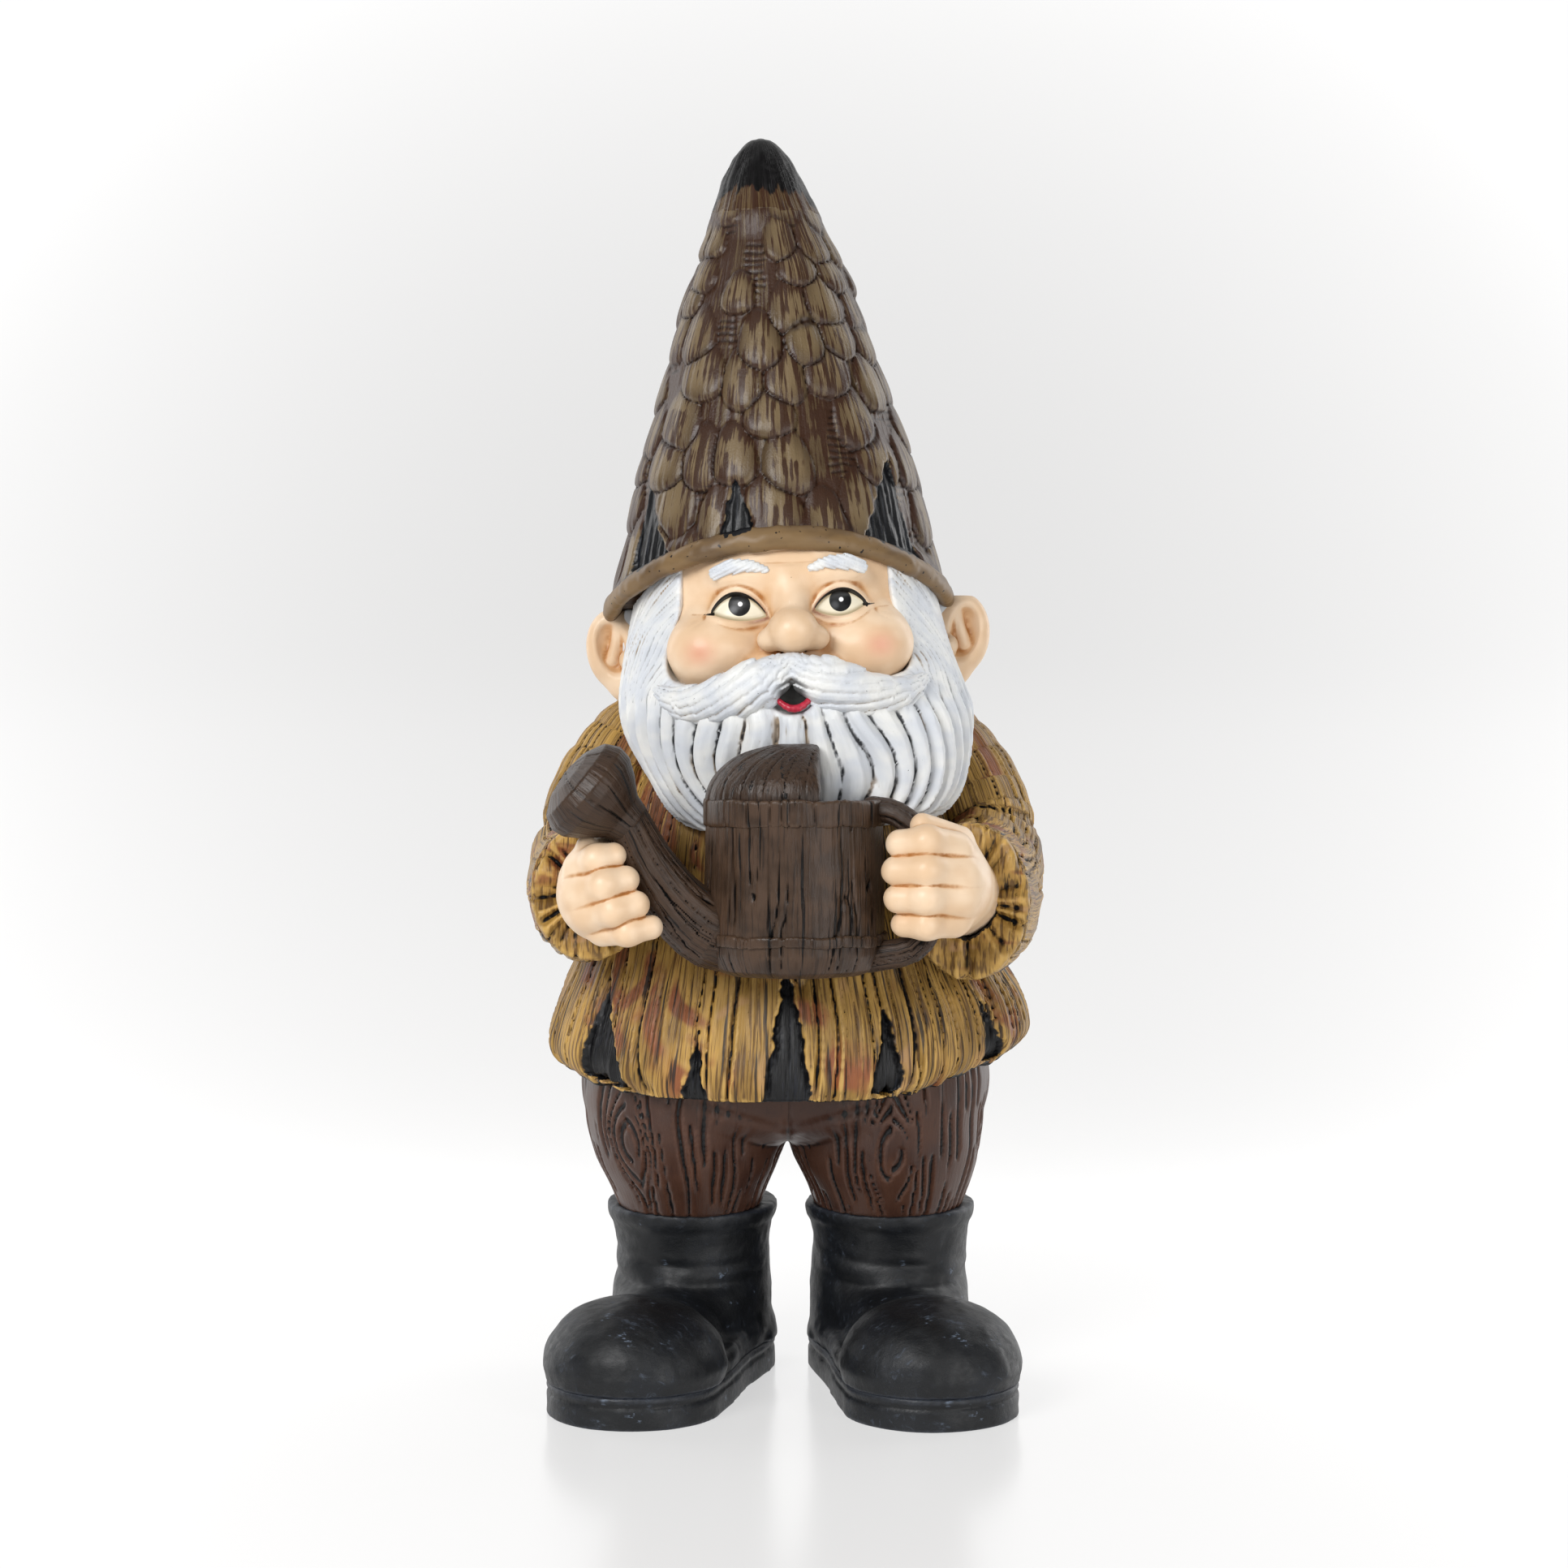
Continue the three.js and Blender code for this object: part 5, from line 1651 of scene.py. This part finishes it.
def build_can(material):
    side = CAN_RADIUS + 3
    upper, lower = hoop_field(*UPPER_HOOP), hoop_field(*LOWER_HOOP)
    round_pieces = [
        ("can_staves", "can_body", can_body_field, side, CAN_FOOT - 4, CAN_RIM + 4, 0.7, can_masks),
        ("can_upper_band", "can_upper_hoop", upper, side, 196, 211, 0.6, can_masks),
        ("can_lower_band", "can_lower_hoop", lower, side, 157, 167, 0.55, can_masks),
        ("can_hood_staves", "can_hood", hood_field, 12, CAN_RIM - 5, CAN_RIM + 23, 0.6, hood_masks),
    ]
    for name, node, field, right, bottom, top, step, masks in round_pieces:
        box = [CAN_X - side, CAN_Y - side, bottom], [CAN_X + right, CAN_Y + side, top]
        add_piece(name, node, material, field, box, step, masks)
    box = [-62, -96, 146], [0, -56, 212]
    masks = tube_flow(SPOUT, SPOUT_LENGTH)
    add_piece("can_spout_wood", "can_spout", material, spout_field, box, 0.6, masks)
    box = [-86, -106, 190], [-40, -62, 232]
    add_piece("can_rose_wood", "can_rose", material, rose_field, box, 0.6, rose_masks)
    box = [20, -90, 148], [57, -66, 213]
    masks = tube_flow(HANDLE, HANDLE_LENGTH)
    add_piece("can_handle_wood", "can_handle", material, handle_field, box, 0.55, masks)


# ---------------------------------------------------------------- trousers

SEAT = Loft([[83, 1.5, 3, 5, 12], [88, 1.5, 4, 34, 30], [98, 1, 5, 66, 43], [126, 1, 5, 66, 44]])
LEGS = {
    -1: Loft(
        [
            [58, -33.0, 9, 24.5, 27],
            [66, -33.0, 8, 27.4, 32],
            [78, -33.5, 7, 32.5, 39],
            [92, -34.5, 6, 34.6, 44],
            [108, -34, 5, 35, 46],
            [126, -33, 5, 33, 44],
        ]
    ),
    1: Loft(
        [
            [58, 37.0, 9, 25.5, 27],
            [66, 37.0, 8, 28.2, 32],
            [78, 36, 7, 32.5, 39],
            [92, 36, 6, 34, 44],
            [108, 36, 5, 34, 46],
            [126, 34, 5, 33, 44],
        ]
    ),
}
LEG_FOOT, SEAT_FOOT, LEG_TOP = 59.5, 84, 124
# Knots in the wood: leg, place round it in millimetres from its front, height.
KNOTS = [(-1, -21, 87), (-1, 66, 92), (-1, -70, 84), (1, 1, 84), (1, 58, 90), (1, -62, 93)]


def wood_lines(side, angle, z):
    """Depth of the cuts carved into a leg, which flow round its knots."""
    arc = angle * LEG_WRAP
    run = arc + 1.5 * noise(arc / 12, z / 14, z * 0, 171 + side)
    around, near_knot = run, 0
    for owner, knot_arc, knot_z in KNOTS:
        if owner != side:
            continue
        off = run - knot_arc
        near = 110 * np.exp(-(((z - knot_z) / 15) ** 2) - (off / 15) ** 2)
        rings = np.sqrt(np.abs(off**2 - near)) * np.where(off**2 > near, 1, -1)
        weight = hump(off / 16, (z - knot_z) / 22)
        near_knot = np.maximum(near_knot, weight)
        around = around * (1 - weight) + (knot_arc + np.where(off >= 0, 1, -1) * rings) * weight
    phase = around / 4.1
    number = np.round(phase)
    line = np.abs(phase - number) * 4.1
    dash = noise(z / 15, number * 3.1, z * 0, 172 + side) + 0.2 + 0.35 * near_knot
    width = np.clip(dash * 1.5, 0, 1)
    return 1.3 * step_between(width + 0.6, 0.0, line) * step_between(0.0, 0.25, dash)


def trouser_masks(p, normals):
    side = np.where(p[0] < 2, -1, 1)
    turns = {leg_side: leg.polar(p)[0] for leg_side, leg in LEGS.items()}
    u, v, w = wrapped(np.where(side < 0, turns[-1], turns[1]), LEG_WRAP, p[2])
    return {"flow": (u + 90 * side, v, w)}


def trouser_field(p):
    form = SEAT.field(p, SEAT_FOOT, LEG_TOP, 4)
    for side, leg in LEGS.items():
        angle, wall = leg.polar(p)
        lines = wood_lines(side, angle, p[2])
        body = smooth_max(wall + lines, np.maximum(LEG_FOOT - p[2], p[2] - LEG_TOP), 1.5)
        form = smooth_min(form, body, 7.0)
    crease = hump((p[0] - 1.5) / 1.4) * step_between(106, 84, p[2])
    folds = hump((p[2] - 92 - 0.33 * np.abs(p[0] - 1.5)) / 1.8) * step_between(38, 22, np.abs(p[0] - 1.5))
    return form + 1.4 * crease + 0.8 * folds - 0.3 * noise(p[0] / 9, p[1] / 9, p[2] / 9, 173)


def build_trousers(material):
    box = [-74, -46, 57], [75, 56, 127]
    add_piece("trouser_wood", "trousers", material, trouser_field, box, 0.8, trouser_masks)


# ---------------------------------------------------------------- boots

SOLE_TOP, BOOT_TOP, TOE_Y, TOE_Z = 11.0, 60.0, -64.5, 16.0
HEEL_RADIUS, TOE_RADIUS, HEEL_Y = 28.5, 29.6, 3.0
STANCE = {-1: (-32.2, 13, math.radians(-16)), 1: (37.8, 13, math.radians(10.5))}
SHAFT = Loft(
    [
        [8, 0, -1, 25, 27],
        [14, 0, -1, 26.5, 28.5],
        [24, 0, 0, 27.5, 30],
        [36, 0, 1, 27.3, 29],
        [46, 0, 1, 26.9, 28.3],
        [51, 0, 1, 27.6, 29.2],
        [55, 0, 1, 29.4, 30.8],
        [60.5, 0, 1, 30.2, 31.4],
    ]
)
INSTEP = Tube([[0, 6, 26, 24, 15], [0, -24, 22, 21, 13], [0, -58, 17, 18, 9]], (1, 0, 0), 6)


def in_stance(side):
    x0, y0, turn = STANCE[side]
    c, s = math.cos(turn), math.sin(turn)

    def place(points):
        x, y, z = points.T
        return np.stack([x0 + x * c - y * s, y0 + x * s + y * c, z], 1)

    return place


def sole_outline(x, y):
    """Distance from the outline of the sole: two round ends joined by straight sides."""
    t = np.clip((y - HEEL_Y) / (TOE_Y - HEEL_Y), 0, 1)
    radius = HEEL_RADIUS + (TOE_RADIUS - HEEL_RADIUS) * t - 1.2 * hump((t - 0.38) / 0.22)
    return np.hypot(x, y - HEEL_Y - (TOE_Y - HEEL_Y) * t) - radius


def boot_field(p):
    x, y, z = p
    shaft = smooth_max(SHAFT.polar(p)[1], np.maximum(SOLE_TOP - 2 - z, z - BOOT_TOP), 2.0)
    dome = (x, y, np.maximum(z, TOE_Z))
    toe = ellipsoid(dome, (0, TOE_Y, TOE_Z), (31.0, 29.6, 23.3))
    foot = np.maximum(sole_outline(x, y) - 0.6, z - 21)
    foot = smooth_min(smooth_max(foot, z - 18, 7), INSTEP.field(p), 6)
    foot = smooth_min(foot, shaft, 5)
    form = smooth_min(foot, toe, 2.5)
    form = form + 1.3 * step_between(17, 11, z) * step_between(2, -4, y)
    tuck = hump((z - 37 - 0.12 * y) / 2.4) * step_between(6, -12, y) * step_between(-36, -22, y)
    tuck = tuck + 0.7 * hump((z - 44 - 0.1 * y + 0.06 * x) / 1.8) * step_between(0, -14, y)
    form = form + tuck - 0.45 * noise(x / 10, y / 10, z / 8, 181)
    form = form - 0.15 * noise(x / 3, y / 3, z / 3, 182)
    under_rim = hump((z - 53.5) / 1.5)
    form = form + 0.5 * under_rim * step_between(-34, -26, y)
    return smooth_max(form, SOLE_TOP - 0.4 - z, 1.0)


def sole_field(p):
    x, y, z = p
    edge = sole_outline(x, y) - 0.2 * noise(x / 6, y / 6, z / 3, 183)
    groove = 0.7 * hump((z - 8.0) / 0.7)
    form = smooth_max(edge + groove, z - SOLE_TOP - 0.2, 1.4)
    return smooth_max(form, -z, 0.5)


def build_boots(material):
    for side, name in SIDES:
        place = in_stance(side)
        box = [-35, -98, 8], [35, 36, 63]
        node = name + "_boot"
        add_piece(node + "_casting", node, material, boot_field, box, 0.8, None, place)
        box = [-33, -97, -2], [33, 34, 13]
        node = name + "_sole"
        add_piece(node + "_edge", node, material, sole_field, box, 0.75, None, place)


# ---------------------------------------------------------------- camera, stage and lights


def figure_point(x, y, z):
    return Vector((x, y, z)) * MM + FIGURE_ORIGIN


LENS, SENSOR_WIDTH = 78.62, 36
CAMERA_PLACE = (0.25, -1185, 289.1)
CAMERA_DIP = 3.92  # degrees below level


def set_camera():
    lens = bpy.data.cameras.new("camera")
    lens.lens, lens.sensor_width = LENS, SENSOR_WIDTH
    camera = bpy.data.objects.new("camera", lens)
    camera.location = figure_point(*CAMERA_PLACE)
    camera.rotation_euler = (math.radians(90 - CAMERA_DIP), 0, 0)
    bpy.context.scene.collection.objects.link(camera)
    bpy.context.scene.camera = camera


def add_light(name, place, aim, width, height, power):
    lamp = bpy.data.lights.new(name, "AREA")
    lamp.shape = "RECTANGLE"
    lamp.size, lamp.size_y = width, height
    lamp.energy = power
    light = bpy.data.objects.new(name, lamp)
    light.location = figure_point(*place)
    direction = figure_point(0, 0, aim) - light.location
    light.rotation_euler = direction.to_track_quat("-Z", "Y").to_euler()
    bpy.context.scene.collection.objects.link(light)


GLOW_REACH, GLOW_HEIGHT = 0.62, 0.15  # metres
# Each lamp: name, place, the height it points at, its width and height in metres, its power in watts.
LAMPS = [
    ("key_softbox", (-600, -1050, 800), 230, 0.6, 0.6, 14),
    ("fill_softbox", (750, -1000, 350), 200, 0.7, 0.7, 5),
    ("top_softbox", (0, 0, 1200), 200, 0.8, 0.6, 1.0),
    ("rim_left", (-800, 500, 500), 250, 0.4, 1.2, 2.5),
    ("rim_right", (800, 500, 500), 250, 0.4, 1.2, 4),
]


def stage_material(base, glow, edge_glow):
    """Pale card that glows a little more away from the figure, as a lit backdrop does."""
    material = bpy.data.materials.new("white_card")
    material.use_nodes = True
    tree = material.node_tree
    shader = tree.nodes["Principled BSDF"]
    shader.inputs["Base Color"].default_value = srgb(base)
    shader.inputs["Roughness"].default_value = 0.2
    shader.inputs["Emission Color"].default_value = (1, 1, 1, 1)
    place = tree.nodes.new("ShaderNodeTexCoord")
    spread = tree.nodes.new("ShaderNodeVectorMath")
    spread.operation = "MULTIPLY_ADD"
    spread.inputs[1].default_value = (1 / GLOW_REACH, 0, 1 / GLOW_REACH)
    spread.inputs[2].default_value = (0, 0, -GLOW_HEIGHT / GLOW_REACH)
    tree.links.new(place.outputs["Object"], spread.inputs[0])
    square = tree.nodes.new("ShaderNodeVectorMath")
    square.operation = "DOT_PRODUCT"
    tree.links.new(spread.outputs["Vector"], square.inputs[0])
    tree.links.new(spread.outputs["Vector"], square.inputs[1])
    strength = tree.nodes.new("ShaderNodeMapRange")
    strength.inputs["To Min"].default_value = glow
    strength.inputs["To Max"].default_value = edge_glow
    tree.links.new(square.outputs["Value"], strength.inputs["Value"])
    tree.links.new(strength.outputs["Result"], shader.inputs["Emission Strength"])
    return material


def set_stage():
    """A sheet of white card that lies on the floor and curves up behind the figure."""
    wide, near, bend, radius, tall = 2600, -1000, 300, 900, 2200
    profile = [(near, 0), (bend, 0)]
    for i in range(1, 25):
        turn = math.radians(90 * i / 24)
        profile.append((bend + radius * math.sin(turn), radius - radius * math.cos(turn)))
    profile.append((bend + radius, tall))
    corners = [tuple(figure_point(x, y, z)) for y, z in profile for x in (-wide, wide)]
    mesh = bpy.data.meshes.new("backdrop")
    faces = [(i, i + 1, i + 3, i + 2) for i in range(0, 2 * len(profile) - 2, 2)]
    mesh.from_pydata(corners, [], faces)
    mesh.polygons.foreach_set("use_smooth", [True] * len(mesh.polygons))
    mesh.materials.append(stage_material("#8a8988", 0.57, 0.86))
    sheet = bpy.data.objects.new("backdrop", mesh)
    bpy.context.scene.collection.objects.link(sheet)


def set_lights():
    world = bpy.data.worlds.new("studio")
    bpy.context.scene.world = world
    world.use_nodes = True
    sky = world.node_tree.nodes["Background"]
    sky.inputs["Color"].default_value = (1, 1, 1, 1)
    sky.inputs["Strength"].default_value = 0.1
    for lamp in LAMPS:
        add_light(*lamp)
    bpy.context.scene.view_settings.view_transform = "Standard"


skin = skin_material()
hair = hair_material()
build_hat(hat_material())
build_tip(tip_material())
build_brim(brim_material())
build_head(skin)
build_hair(hair, lip_material())
build_jacket(jacket_material())
build_hands(skin)
build_can(can_material())
build_trousers(trouser_material())
build_boots(boot_material())
set_camera()
set_stage()
set_lights()
